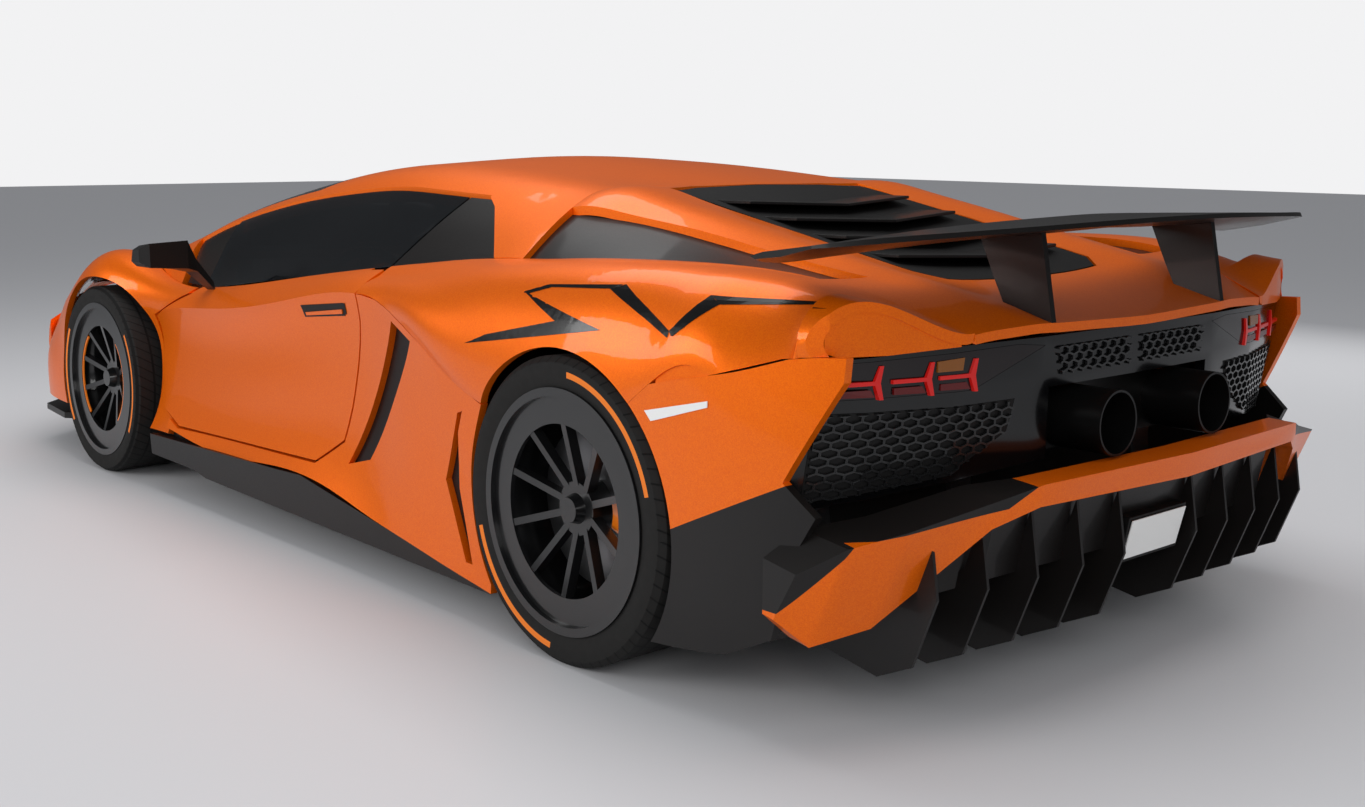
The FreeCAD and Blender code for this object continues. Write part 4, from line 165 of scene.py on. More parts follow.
def pearl_tone(tree, place):
    """Colour of the pearl base: each flake lies between the full orange and its shade."""
    flakes = add(tree, "ShaderNodeTexVoronoi", {"Vector": place, "Scale": 1 / FLAKE_PITCH})
    tone = add(tree, "ShaderNodeMix",
               {0: flakes.outputs["Color"], 6: linear(PEARL_ORANGE), 7: linear(PEARL_SHADE)},
               data_type="RGBA")
    return tone.outputs[2]


def pearl_orange_paint():
    """Sprayed pearl base under clear lacquer with orange peel."""
    material, tree = new_material("pearl_orange_paint")
    place = add(tree, "ShaderNodeTexCoord").outputs["Object"]
    peel = add(tree, "ShaderNodeTexNoise", {"Vector": place, "Scale": 1 / PEEL_PITCH, "Detail": 1.0})
    bump = add(tree, "ShaderNodeBump",
               {"Height": peel.outputs["Fac"], "Distance": PEEL_HEIGHT, "Strength": 0.4})
    paint = add(tree, "ShaderNodeBsdfPrincipled",
                {"Base Color": pearl_tone(tree, place), "Normal": bump.outputs["Normal"], **LACQUERED})
    finish(tree, paint)
    return material


ORANGE_PAINT = pearl_orange_paint()
print("made", ORANGE_PAINT.name)

# %% [markdown]
# The lower corners, skirts, inlets and wing are moulded composite with a satin lacquer, nearly
# black with a warm cast, so their highlights are broad and dim. The panel between the tail lamps
# is gloss black plastic with sharp highlights. Wheels are powder coated, and the tub, the
# underside and the inlets are matt mouldings with a fine grain.

# %% Black plastics and composites
GLOSS_SPREAD = 0.15


def moulded_black(name, colour, roughness, coat, grain_pitch, grain_height):
    """Moulded black part: fine mould grain and a slight unevenness of gloss."""
    material, tree = new_material(name)
    place = add(tree, "ShaderNodeTexCoord").outputs["Object"]
    grain = add(tree, "ShaderNodeTexNoise", {"Vector": place, "Scale": 1 / grain_pitch, "Detail": 2.0})
    sheen = add(tree, "ShaderNodeMapRange",
                {"Value": grain.outputs["Fac"], "To Min": roughness * (1 - GLOSS_SPREAD),
                 "To Max": min(1.0, roughness * (1 + GLOSS_SPREAD))})
    bump = add(tree, "ShaderNodeBump",
               {"Height": grain.outputs["Fac"], "Distance": grain_height, "Strength": 0.5})
    plastic = add(tree, "ShaderNodeBsdfPrincipled",
                  {"Base Color": linear(colour), "Roughness": sheen.outputs["Result"], "Coat Weight": coat,
                   "Coat Roughness": 0.08, "Specular IOR Level": 0.3, "Normal": bump.outputs["Normal"]})
    finish(tree, plastic)
    return material


COMPOSITE_BLACK = "#110E0D"
SATIN_COMPOSITE = moulded_black("satin_lacquered_composite", COMPOSITE_BLACK, 0.45, 0.15, 0.004, 0.00004)
GLOSS_BLACK = moulded_black("gloss_black_moulding", "#070708", 0.16, 0.35, 0.008, 0.00001)
MATT_BLACK = moulded_black("matt_black_moulding", "#0E0D0D", 0.55, 0.0, 0.002, 0.00008)
WHEEL_BLACK = moulded_black("powder_coated_wheel", "#121213", 0.30, 0.6, 0.003, 0.00003)
BLACK_TRIM = moulded_black("grained_cabin_trim", "#1A1A1B", 0.60, 0.0, 0.0015, 0.00012)
print("made five black finishes")

# %% [markdown]
# The windows are laminated glass with a dark tint, so from outside they mostly reflect and the
# cabin only just shows. The lamps in front sit behind a lens of the same kind, a little clearer.
# Both are thin, so a share of see-through is truer here than a refraction through thick glass.


# %% Tinted glass and lamp lenses
def tinted_glass(name, colour, alpha):
    """Dark privacy glass: a thin sheet that mostly reflects."""
    material, tree = new_material(name)
    glass = add(tree, "ShaderNodeBsdfPrincipled",
                {"Base Color": linear(colour), "Roughness": 0.02, "IOR": 1.5, "Alpha": alpha,
                 "Coat Weight": 0.5, "Coat Roughness": 0.01})
    finish(tree, glass)
    return material


PRIVACY_GLASS = tinted_glass("tinted_laminated_glass", "#0A0D10", 0.86)
CLEAR_LENS = tinted_glass("clear_lamp_lens", "#20252A", 0.75)
print("made", PRIVACY_GLASS.name, "and", CLEAR_LENS.name)

# %% [markdown]
# Brake discs are turned steel with a soft shine, carriers and arms are cast aluminium with a
# faint pitting that dulls it, and the exhaust is steel with a black coat. The pitting's pitch is
# a few millimetres, as cast. The calipers are enamelled, which gives them a wet orange gloss.


# %% Metals
def cast_metal(name, colour, metallic, roughness, pitch, height):
    """Metal part with the fine unevenness of its casting or turning."""
    material, tree = new_material(name)
    place = add(tree, "ShaderNodeTexCoord").outputs["Object"]
    cast = add(tree, "ShaderNodeTexNoise", {"Vector": place, "Scale": 1 / pitch, "Detail": 3.0})
    bump = add(tree, "ShaderNodeBump", {"Height": cast.outputs["Fac"], "Distance": height, "Strength": 0.6})
    metal = add(tree, "ShaderNodeBsdfPrincipled",
                {"Base Color": linear(colour), "Metallic": metallic, "Roughness": roughness,
                 "Normal": bump.outputs["Normal"]})
    finish(tree, metal)
    return material


TURNED_STEEL = cast_metal("turned_brake_steel", "#8C8C8E", 1.0, 0.35, 0.003, 0.00005)
CAST_ALLOY = cast_metal("cast_aluminium", "#8A8B8E", 1.0, 0.45, 0.004, 0.0002)
BLACK_PIPE = cast_metal("black_coated_exhaust_steel", "#0E0E0E", 0.4, 0.35, 0.004, 0.00005)
CALIPER_ORANGE = moulded_black("caliper_enamel", "#F07A12", 0.30, 0.8, 0.004, 0.00004)
print("made three metals and the caliper enamel")

# %% [markdown]
# The tread's cuts are drawn in the tyre's material, with a bump and with painted shade that darkens
# them, because a tyre has only a few thousand triangles to spare: slanted cuts every 34 mm and a
# ring every 58 mm.

# %% Tread of the tyres
TREAD_PITCH = 0.034
TREAD_SLANT = 0.6
TREAD_DEPTH = 0.005
RIB_WIDTH = 0.058
GROOVE_SHARE = 0.13
SHOULDER = 0.016


def tread_grooves(tree, axis, spread, radius):
    """Share of groove on the tread: slanted cuts across it and a few rings around it."""
    angle = add(tree, "ShaderNodeMath", {0: axis.outputs["Z"], 1: axis.outputs["X"]}, operation="ARCTAN2")
    around = add(tree, "ShaderNodeMath", {0: angle.outputs[0], 1: radius / TREAD_PITCH},
                 operation="MULTIPLY")
    across = add(tree, "ShaderNodeMath", {0: axis.outputs["Y"]}, operation="ABSOLUTE")
    slanted = add(tree, "ShaderNodeMath",
                  {0: across.outputs[0], 1: TREAD_SLANT / TREAD_PITCH, 2: around.outputs[0]},
                  operation="MULTIPLY_ADD")
    ribs = add(tree, "ShaderNodeMath", {0: axis.outputs["Y"], 1: 1 / RIB_WIDTH}, operation="MULTIPLY")
    cuts = []
    for pattern in (slanted, ribs):
        part = add(tree, "ShaderNodeMath", {0: pattern.outputs[0]}, operation="FRACT")
        cuts.append(add(tree, "ShaderNodeMath", {0: part.outputs[0], 1: GROOVE_SHARE},
                        operation="LESS_THAN"))
    both = add(tree, "ShaderNodeMath", {0: cuts[0].outputs[0], 1: cuts[1].outputs[0]}, operation="MAXIMUM")
    tread = add(tree, "ShaderNodeMath", {0: spread.outputs["Value"], 1: radius - SHOULDER},
                operation="GREATER_THAN")
    return add(tree, "ShaderNodeMath", {0: both.outputs[0], 1: tread.outputs[0]}, operation="MULTIPLY")


# %% [markdown]
# Each tyre carries two long orange arcs on its outer sidewall. They are drawn in the material,
# as bands between two radii around the hub, because real ones are only printed on. They keep to
# a share of the circle around a line, which is slanted on the rear tyres and nearly level on the
# front ones. The rest is dull black rubber, a little dusty.

# %% Rubber of the tyres
SIDEWALL_ORANGE = "#E87B28"
RUBBER_BLACK = "#1B1A19"
# The near black painted into the tread's cuts is painted shade: the same rubber, shown in shadow.
GROOVE_PAINTED_SHADE = "#040404"
ARC_WAYS = {"front": (1.0, 0.0, -0.05), "rear": (-0.64, 0.0, 0.77)}
ARC_HALF_ANGLE = math.radians(34)
TYRE_BANDS = {"front": (0.292, 0.304), "rear": (0.312, 0.326)}
DUST_PITCH = 0.025


def tyre_rubber(place_name):
    """Cured rubber with two long coloured arcs printed on the outer sidewall."""
    material, tree = new_material("tyre_rubber_" + place_name)
    hub, end = HUB[place_name], place_name.split("_")[0]
    inner, outer = TYRE_BANDS[end]
    place = add(tree, "ShaderNodeTexCoord").outputs["Object"]
    local = add(tree, "ShaderNodeMapping", {"Vector": place, "Location": (-hub.x, -hub.y, -hub.z)})
    axis = add(tree, "ShaderNodeSeparateXYZ", {"Vector": local.outputs[0]})
    flat = add(tree, "ShaderNodeCombineXYZ", {"X": axis.outputs["X"], "Y": axis.outputs["Z"]})
    spread = add(tree, "ShaderNodeVectorMath", {0: flat.outputs[0]}, operation="LENGTH")
    slant = add(tree, "ShaderNodeVectorMath", {0: local.outputs[0], 1: ARC_WAYS[end]},
                operation="DOT_PRODUCT")
    rise = add(tree, "ShaderNodeMath", {0: slant.outputs["Value"]}, operation="ABSOLUTE")
    band = add(tree, "ShaderNodeMath",
               {0: spread.outputs["Value"], 1: (inner + outer) / 2, 2: (outer - inner) / 2},
               operation="COMPARE")
    lean = add(tree, "ShaderNodeMath", {0: rise.outputs[0], 1: spread.outputs["Value"]}, operation="DIVIDE")
    arc = add(tree, "ShaderNodeMath", {0: lean.outputs[0], 1: math.cos(ARC_HALF_ANGLE)},
              operation="GREATER_THAN")
    mask = add(tree, "ShaderNodeMath", {0: band.outputs[0], 1: arc.outputs[0]}, operation="MULTIPLY")
    dust = add(tree, "ShaderNodeTexNoise", {"Vector": place, "Scale": 1 / DUST_PITCH, "Detail": 4.0})
    worn = add(tree, "ShaderNodeMapRange", {"Value": dust.outputs["Fac"], "To Min": 0.72, "To Max": 0.92})
    colour = add(tree, "ShaderNodeMix",
                 {0: mask.outputs[0], 6: linear(RUBBER_BLACK), 7: linear(SIDEWALL_ORANGE)},
                 data_type="RGBA")
    groove = tread_grooves(tree, axis, spread, hub.z)
    # Painted shade: the tread's cuts are coloured near black where shadow falls inside them.
    groove_shade_colour = add(tree, "ShaderNodeMix", {0: groove.outputs[0], 6: colour.outputs[2], 7: linear(GROOVE_PAINTED_SHADE)},
              data_type="RGBA")
    height = add(tree, "ShaderNodeMath", {0: 1.0, 1: groove.outputs[0]}, operation="SUBTRACT")
    bump = add(tree, "ShaderNodeBump",
               {"Height": height.outputs[0], "Distance": TREAD_DEPTH, "Strength": 0.8})
    rubber = add(tree, "ShaderNodeBsdfPrincipled",
                 {"Base Color": groove_shade_colour.outputs[2], "Roughness": worn.outputs["Result"],
                  "Specular IOR Level": 0.3, "Normal": bump.outputs["Normal"]})
    finish(tree, rubber)
    return material


RUBBER = {place_name: tyre_rubber(place_name) for place_name in HUB}
print("made", [rubber.name for rubber in RUBBER.values()])

# %% [markdown]
# The tail lamps are moulded in smoked acrylic, so dark that only their red cast tells them from
# the panel around them. The seats are in grained leather, whose pebbles break up its dull shine.

# %% Smoked lens and leather
SMOKED_LENS = moulded_black("smoked_acrylic_lens", "#0E0405", 0.14, 0.35, 0.008, 0.00001)
BLACK_LEATHER = moulded_black("grained_black_leather", "#1C1B1B", 0.55, 0.0, 0.003, 0.0003)
print("made", SMOKED_LENS.name, "and", BLACK_LEATHER.name)

# %% [markdown]
# The panel behind each rear wheel is one moulding: its upper part is painted orange and its
# lower corner is left in black composite. The rear bumper is divided the same way: a black arm
# runs from the corner to the middle, above the painted part. Straight masking lines divide them,
# so one recipe holds both finishes and picks between them by the place on the panel. Each line
# is given by two points: on the tail panel along and up, on the bumper across and up.

# %% Two-tone panels
TAIL_MASK = ((-1.843, 0.410), (-2.080, 0.520))
ARM_MASK = ((0.600, 0.470), (0.918, 0.430))
CORNER_MASK = ((0.918, 0.430), (0.985, 0.275))
ARM_END_SLOPE = 1.4
ARM_END_PLACE = 1.251


def side_of_line(tree, across, start, end):
    """Height of a masking line, given by two points, at one place across."""
    slope = (end[1] - start[1]) / (end[0] - start[0])
    return add(tree, "ShaderNodeMath", {0: across, 1: slope, 2: start[1] - slope * start[0]},
               operation="MULTIPLY_ADD").outputs[0]


def tail_mask(tree, axis):
    """Share of black on a tail panel: all that lies below its masking line."""
    line = side_of_line(tree, axis.outputs["X"], *TAIL_MASK)
    return add(tree, "ShaderNodeMath", {0: axis.outputs["Z"], 1: line}, operation="LESS_THAN").outputs[0]


def bumper_mask(tree, axis):
    """Share of black on the bumper: the arm above its painted part, from the corner inwards."""
    across = add(tree, "ShaderNodeMath", {0: axis.outputs["Y"]}, operation="ABSOLUTE").outputs[0]
    arm = side_of_line(tree, across, *ARM_MASK)
    corner = side_of_line(tree, across, *CORNER_MASK)
    line = add(tree, "ShaderNodeMath", {0: arm, 1: corner}, operation="MINIMUM")
    above = add(tree, "ShaderNodeMath", {0: axis.outputs["Z"], 1: line.outputs[0]},
                operation="GREATER_THAN")
    lean = add(tree, "ShaderNodeMath", {0: axis.outputs["Z"], 1: ARM_END_SLOPE, 2: across},
               operation="MULTIPLY_ADD")
    outer = add(tree, "ShaderNodeMath", {0: lean.outputs[0], 1: ARM_END_PLACE}, operation="GREATER_THAN")
    black = add(tree, "ShaderNodeMath", {0: above.outputs[0], 1: outer.outputs[0]}, operation="MULTIPLY")
    return black.outputs[0]


def two_tone(name, mask):
    """Pearl orange with a masked part in black composite."""
    material, tree = new_material(name)
    place = add(tree, "ShaderNodeTexCoord").outputs["Object"]
    axis = add(tree, "ShaderNodeSeparateXYZ", {"Vector": place})
    painted = add(tree, "ShaderNodeBsdfPrincipled", {"Base Color": pearl_tone(tree, place), **LACQUERED})
    black = add(tree, "ShaderNodeBsdfPrincipled",
                {"Base Color": linear(COMPOSITE_BLACK), "Roughness": 0.45, "Coat Weight": 0.15,
                 "Coat Roughness": 0.08, "Specular IOR Level": 0.3})
    both = add(tree, "ShaderNodeMixShader",
               {0: mask(tree, axis), 1: painted.outputs[0], 2: black.outputs[0]})
    finish(tree, both)
    return material


TAIL_PAINT = two_tone("masked_tail_paint", tail_mask)
BUMPER_PAINT = two_tone("masked_bumper_paint", bumper_mask)
print("two-tone panels:", TAIL_PAINT.name, BUMPER_PAINT.name)

# %% [markdown]
# The solids arrive as loose triangles. A weld joins them and an edge split keeps the real
# creases sharp, so that the curved panels shade smoothly, and neither changes the mesh itself.

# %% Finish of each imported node
CREASE_ANGLE = math.radians(28)
WELD_REACH = 0.00005
GROUPS = [
    (ORANGE_PAINT, ["roof_frame", "rear_deck", "side_panels", "front_wings", "rear_wings", "front_bumper",
                    "front_lid", "door_left", "door_right"]),
    (SATIN_COMPOSITE, ["side_scoops", "quarter_glass", "side_skirts", "front_splitter", "rear_diffuser",
                       "rear_aerofoil", "mirror_left", "mirror_right"]),
    (MATT_BLACK, ["grilles", "tub", "undertray", "engine_cover"]),
    (PRIVACY_GLASS, ["windscreen", "door_glass_left", "door_glass_right"]),
    (CAST_ALLOY, ["uprights_rear", "upright_front_left", "upright_front_right", "wishbones", "subframes",
                  "engine", "hinges"]),
    (CALIPER_ORANGE, ["calipers_rear", "caliper_front_left", "caliper_front_right"]),
    (BLACK_TRIM, ["dashboard", "steering_wheel"]), (BLACK_LEATHER, ["seats"]),
    (TAIL_PAINT, ["tail_sides"]), (BUMPER_PAINT, ["rear_bumper"]), (GLOSS_BLACK, ["rear_fascia"]),
    (SMOKED_LENS, ["tail_lamps"]), (CLEAR_LENS, ["headlamps"]), (BLACK_PIPE, ["exhaust"]),
    (WHEEL_BLACK, ["wheel_" + place_name for place_name in HUB]),
    (TURNED_STEEL, ["brake_disc_" + place_name for place_name in HUB]),
]
FINISHES = {name: material for material, names in GROUPS for name in names}
for place_name, rubber in RUBBER.items():
    FINISHES["tyre_" + place_name] = rubber

bpy.ops.object.select_all(action="DESELECT")
for name, node in NODES.items():
    node.data.materials.clear()
    node.data.materials.append(FINISHES[name])
    node.data.polygons.foreach_set("use_smooth", [True] * len(node.data.polygons))
    weld = node.modifiers.new("weld", "WELD")
    weld.merge_threshold = WELD_REACH
    split = node.modifiers.new("creases", "EDGE_SPLIT")
    split.split_angle = CREASE_ANGLE
print("finished", len(FINISHES), "nodes")

# %% [markdown]
# Every new piece goes through the same hands. Operators act on all that is selected, so one piece
# is selected alone first. A modifier is applied at once, pieces of one kind are joined, and at
# the end the piece's place goes into its mesh and it is set on the body that carries it.


# %% Helpers for a piece
def select_only(piece):
    """Selects one object and makes it active."""
    bpy.ops.object.select_all(action="DESELECT")
    piece.select_set(True)
    bpy.context.view_layer.objects.active = piece


def apply_modifier(piece, kind, **settings):
    """Adds one modifier, sets it and applies it."""
    select_only(piece)
    modifier = piece.modifiers.new("shaping", kind)
    for key, value in settings.items():
        setattr(modifier, key, value)
    bpy.ops.object.modifier_apply(modifier=modifier.name)


def joined(pieces):
    """Joins several pieces into the first one."""
    bpy.ops.object.select_all(action="DESELECT")
    for piece in pieces:
        piece.select_set(True)
    bpy.context.view_layer.objects.active = pieces[0]
    bpy.ops.object.join()
    return pieces[0]


def settle(piece, name, material, body):
    """Puts a finished piece's place into its mesh, names and paints it, and lets it ride on a body."""
    select_only(piece)
    bpy.ops.object.transform_apply(location=True, rotation=True, scale=True)
    piece.name = name
    piece.data.materials.clear()
    piece.data.materials.append(material)
    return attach(piece, body)


# %% [markdown]
# A sheet is cut to its outline with bisect, one straight cut along each edge, which is why every
# outline is convex. Where a sheet hangs over the edge of its panel, a shrinkwrap leaves the points
# that find nothing far outside, so those are deleted.


# %% Trimming a sheet
def trim(piece, corners, axes):
    """Cuts away what lies outside a convex outline given in two of the three axes."""
    bpy.ops.object.mode_set(mode="EDIT")
    middle = [sum(corner[k] for corner in corners) / len(corners) for k in (0, 1)]
    for start, end in zip(corners, corners[1:] + corners[:1]):
        normal = [end[1] - start[1], start[0] - end[0]]
        if (middle[0] - start[0]) * normal[0] + (middle[1] - start[1]) * normal[1] > 0:
            normal = [-normal[0], -normal[1]]
        place, way = [0.0, 0.0, 0.0], [0.0, 0.0, 0.0]
        for k in (0, 1):
            place[axes[k]], way[axes[k]] = start[k], normal[k]
        bpy.ops.mesh.select_all(action="SELECT")
        bpy.ops.mesh.bisect(plane_co=place, plane_no=way, clear_outer=True)
    bpy.ops.object.mode_set(mode="OBJECT")


def drop_missed(piece, axis, limit):
    """Deletes the points that a shrinkwrap didn't bring within a limit along one axis."""
    select_only(piece)
    bpy.ops.object.mode_set(mode="EDIT")
    bpy.ops.mesh.select_all(action="DESELECT")
    mesh = bmesh.from_edit_mesh(piece.data)
    for vertex in mesh.verts:
        vertex.select = abs(vertex.co[axis]) > limit
    mesh.select_flush_mode()
    bmesh.update_edit_mesh(piece.data)
    bpy.ops.mesh.delete(type="VERT")
    bpy.ops.object.mode_set(mode="OBJECT")


# %% [markdown]
# Thin pieces that lie on a panel, such as the stripe, the side marker and the painted shade of the
# handle's recess, are cut from a flat sheet in the side view. The sheet is a fine grid, trimmed to
# its outline. A shrinkwrap then presses it onto the panel, and a solidify gives it its thickness.
# Modelled so, it follows the panel's curve exactly, which a flat plate could not.

# %% Sheets pressed onto a panel
SHEET_CELL = 0.010
SHEET_LIFT = 0.0010
OUTSIDE = 1.2


def pressed_sheet(corners, side, target, depth):
    """A sheet cut to corners in the side view, pressed onto a panel and given a thickness."""
    xs, zs = [corner[0] for corner in corners], [corner[1] for corner in corners]
    width, height = max(xs) - min(xs), max(zs) - min(zs)
    bpy.ops.object.select_all(action="DESELECT")
    bpy.ops.mesh.primitive_grid_add(x_subdivisions=max(1, round(width / SHEET_CELL)),
                                    y_subdivisions=max(1, round(height / SHEET_CELL)), size=1)
    sheet = bpy.context.object
    sheet.scale = (width, height, 1)
    sheet.rotation_euler = (-side * math.pi / 2, 0, 0)
    sheet.location = ((min(xs) + max(xs)) / 2, side * OUTSIDE, (min(zs) + max(zs)) / 2)
    bpy.ops.object.transform_apply(location=True, rotation=True, scale=True)
    trim(sheet, corners, (0, 2))
    apply_modifier(sheet, "SHRINKWRAP", target=NODES[target], wrap_method="PROJECT", use_project_y=True,
                   use_negative_direction=side > 0, use_positive_direction=side < 0, offset=SHEET_LIFT)
    drop_missed(sheet, 1, OUTSIDE - SHEET_CELL)
    apply_modifier(sheet, "SOLIDIFY", thickness=depth, offset=1.0)
    return sheet


# %% [markdown]
# A zig-zag stripe of black vinyl film runs over each rear wing, a little glossier than the black
# mouldings. It is made of seven straight-edged strips, each a convex outline.

# %% Vinyl stripe on the rear wings
VINYL_BLACK = moulded_black("cast_vinyl_film", "#0C0C0D", 0.25, 0.4, 0.01, 0.00001)
VINYL_DEPTH = 0.0003
STRIPE = [
    [(-1.053, 0.703), (-1.139, 0.733), (-1.394, 0.788), (-1.559, 0.783)],
    [(-1.239, 0.841), (-1.259, 0.838), (-1.559, 0.783), (-1.394, 0.788)],
    [(-1.239, 0.841), (-1.319, 0.863), (-1.334, 0.858), (-1.259, 0.838)],
    [(-1.319, 0.863), (-1.584, 0.882), (-1.541, 0.870), (-1.334, 0.858)],
    [(-1.584, 0.882), (-1.775, 0.802), (-1.771, 0.789), (-1.541, 0.870)],
    [(-1.775, 0.802), (-1.844, 0.879), (-1.877, 0.863), (-1.791, 0.793)],
    [(-1.844, 0.879), (-2.135, 0.874), (-1.877, 0.863)],
]
for side, side_name in SIDES:
    strips = [pressed_sheet(corners, side, "rear_wings", VINYL_DEPTH) for corners in STRIPE]
    settle(joined(strips), "stripe_" + side_name, VINYL_BLACK, "car")
print("stripe strips per side:", len(STRIPE))

# %% [markdown]
# A white marker lamp sits on the flank behind each rear wheel: a slim moulded lens, two
# millimetres proud of the panel. Its milky white plastic catches the light along its edge.

# %% Side markers
WHITE_LENS = moulded_black("white_acrylic_lens", "#E6E6E4", 0.15, 1.0, 0.01, 0.00001)
MARKER = [(-1.725, 0.631), (-1.901, 0.672), (-1.899, 0.658), (-1.746, 0.611)]
MARKER_DEPTH = 0.002
for side, side_name in SIDES:
    marker = pressed_sheet(MARKER, side, "tail_sides", MARKER_DEPTH)
    settle(marker, "side_marker_" + side_name, WHITE_LENS, "car")
print("markers stand", MARKER_DEPTH, "proud")

# %% [markdown]
# Each door has a flush handle: a painted flap over a finger recess. The recess is not cut into the
# door. A thin black sheet stands for it, painted shade where the hollow would lie in shadow, and the
# flap is a thicker sheet in the body's colour over its lower half.

# %% Door handles
# Outline of the painted shade that stands for the finger recess.
RECESS_SHADE = [(-0.100, 0.708), (-0.350, 0.736), (-0.364, 0.730), (-0.361, 0.702), (-0.345, 0.699),
          (-0.108, 0.674)]
FLAP = [(-0.124, 0.690), (-0.344, 0.718), (-0.342, 0.705), (-0.126, 0.681)]
RECESS_SHADE_DEPTH = 0.0008
FLAP_DEPTH = 0.004
for side, side_name in SIDES:
    door, body = "door_" + side_name, side_name + "_door"
    # Painted shade: a thin black sheet where the finger recess would lie in shadow.
    recess_shade = pressed_sheet(RECESS_SHADE, side, door, RECESS_SHADE_DEPTH)
    settle(recess_shade, "handle_recess_shade_" + side_name, MATT_BLACK, body)
    flap = pressed_sheet(FLAP, side, door, FLAP_DEPTH)
    settle(flap, "handle_flap_" + side_name, ORANGE_PAINT, body)
print("made the handles on both doors")

# %% [markdown]
# Longer solid pieces are drawn from one section to the next, as a fitter would bend a bar
# through templates: a filled ring of points is extruded, and each new ring is moved onto the
# next section. The points of a ring stay in the same order all along.


# %% Bars drawn through sections
def move_ring(piece, before, after):
    """Moves the selected ring of points from one section to the next."""
    mesh = bmesh.from_edit_mesh(piece.data)
    for vertex in [v for v in mesh.verts if v.select]:
        nearest = min(range(len(before)), key=lambda i: (vertex.co - before[i]).length)
        vertex.co = after[nearest]
    bmesh.update_edit_mesh(piece.data)


def drawn_bar(sections, bevel=0.0):
    """A solid drawn through sections, each a ring of points."""
    sections = [[Vector(point) for point in section] for section in sections]
    count = len(sections[0])
    bpy.ops.object.select_all(action="DESELECT")
    bpy.ops.mesh.primitive_circle_add(vertices=count, radius=1, fill_type="NGON", location=(0, 0, 0))
    piece = bpy.context.object
    ring = [vertex.co.copy() for vertex in piece.data.vertices]
    bpy.ops.object.mode_set(mode="EDIT")
    bpy.ops.mesh.select_all(action="SELECT")
    move_ring(piece, ring, sections[0])
    for before, after in zip(sections, sections[1:]):
        bpy.ops.mesh.extrude_region_move(TRANSFORM_OT_translate={"value": (0, 0, 0)})
        move_ring(piece, before, after)
    bpy.ops.mesh.select_all(action="SELECT")
    bpy.ops.mesh.normals_make_consistent(inside=False)
    bpy.ops.object.mode_set(mode="OBJECT")
    if bevel:
        apply_modifier(piece, "BEVEL", width=bevel, segments=2, limit_method="ANGLE")
    return piece


# %% [markdown]
# Where the rear wing's painted skin meets the panel behind the wheel, a short joint strip in the
# body's colour closes the seam from behind. It is drawn through four sections and sits just
# inside the outer skin, so it reads as part of the panel.

# %% Joint strips behind the rear wheels
JOINT_STATIONS = [(-1.752, 0.688, 0.706, 0.9985), (-1.800, 0.696, 0.732, 0.9945),
                  (-1.845, 0.704, 0.742, 0.9895), (-1.895, 0.714, 0.736, 0.9820)]
JOINT_WALL = 0.004
JOINT_LEAN = 0.0015


def joint_section(x, low, high, out, side):
    """Ring of one section of a joint strip on one side of the car."""
    top = out - JOINT_LEAN
    return [(x, side * out, low), (x, side * top, high), (x, side * (top - JOINT_WALL), high),
            (x, side * (out - JOINT_WALL), low)]


for side, side_name in SIDES:
    strip = drawn_bar([joint_section(*station, side) for station in JOINT_STATIONS])
    settle(strip, "wing_joint_" + side_name, ORANGE_PAINT, "car")
print("joint strips:", len(JOINT_STATIONS), "sections each")

# %% [markdown]
# Four wide slats let hot air out of the engine cover. Each is a thin blade that starts on the
# cover and rises towards the tail, with a point in its middle that gives the row its arrow look.

# %% Engine cover slats
SLAT_FRONTS = [-1.235, -1.400, -1.565, -1.730]
SLAT_CHORD = 0.125
SLAT_RISE = 0.030
SLAT_WALL = 0.008
SLAT_LIP = 0.002
SLAT_BEVEL = 0.002
SLAT_HALF = 0.315
SLAT_POINT = 0.055
COVER_STATION = (-1.167, 1.045)
COVER_SLOPE = 0.2165


def cover_height(x):
    """Height of the engine cover's skin at a place along the car."""
    return COVER_STATION[1] + COVER_SLOPE * (x - COVER_STATION[0])


def slat_section(front, y):
    """Side-view section of one slat at one place across the car."""
    shift = SLAT_POINT * (0.5 - abs(y) / SLAT_HALF)
    lead = front - shift
    trail = lead - SLAT_CHORD
    low, high = cover_height(lead), cover_height(trail) + SLAT_RISE
    return [(lead, y, low - SLAT_WALL), (lead, y, low + SLAT_LIP),
            (trail, y, high), (trail, y, high - SLAT_WALL)]


for number, front in enumerate(SLAT_FRONTS):
    sections = [slat_section(front, SLAT_HALF * share) for share in (-1.0, -0.5, 0.0, 0.5, 1.0)]
    slat = drawn_bar(sections, SLAT_BEVEL)
    settle(slat, "cover_slat_%d" % number, SATIN_COMPOSITE, "engine_lid")
print("slats:", len(SLAT_FRONTS))

# %% [markdown]
# Each tail lamp is a smoked housing with three red light guides. Each guide is a letter-like
# fork: a stem towards the flank and two arms that open towards the middle of the car. An amber
# guide sits above, and a deep red reflector under each stem. They are cut as flat shapes and
# stand a little proud of the smoked lens.

# %% Tail lamp guides
LAMP_FACE = [(0.340, -2.2620), (0.548, -2.2325), (0.676, -2.2055), (0.804, -2.1715), (0.925, -2.1300)]
GUIDE_DEPTH = 0.005
GUIDE_BAR = 0.004
ARM_RISE = 0.034
ARM_LEAN = 0.016
ARM_WIDTH = 0.009
FORK_NODES = [0.792, 0.672, 0.560]
FORK_STEM = 0.082
LAMP_MIDDLE = 0.722
REFLECTOR = [(0.0779, 0.709), (0.012, 0.709), (0.002, 0.694), (0.0779, 0.696)]
AMBER_OUTLINE = [(0.648, 0.734), (0.648, 0.756), (0.580, 0.760), (0.584, 0.734)]
GLOW_RED = "#FF2A1E"


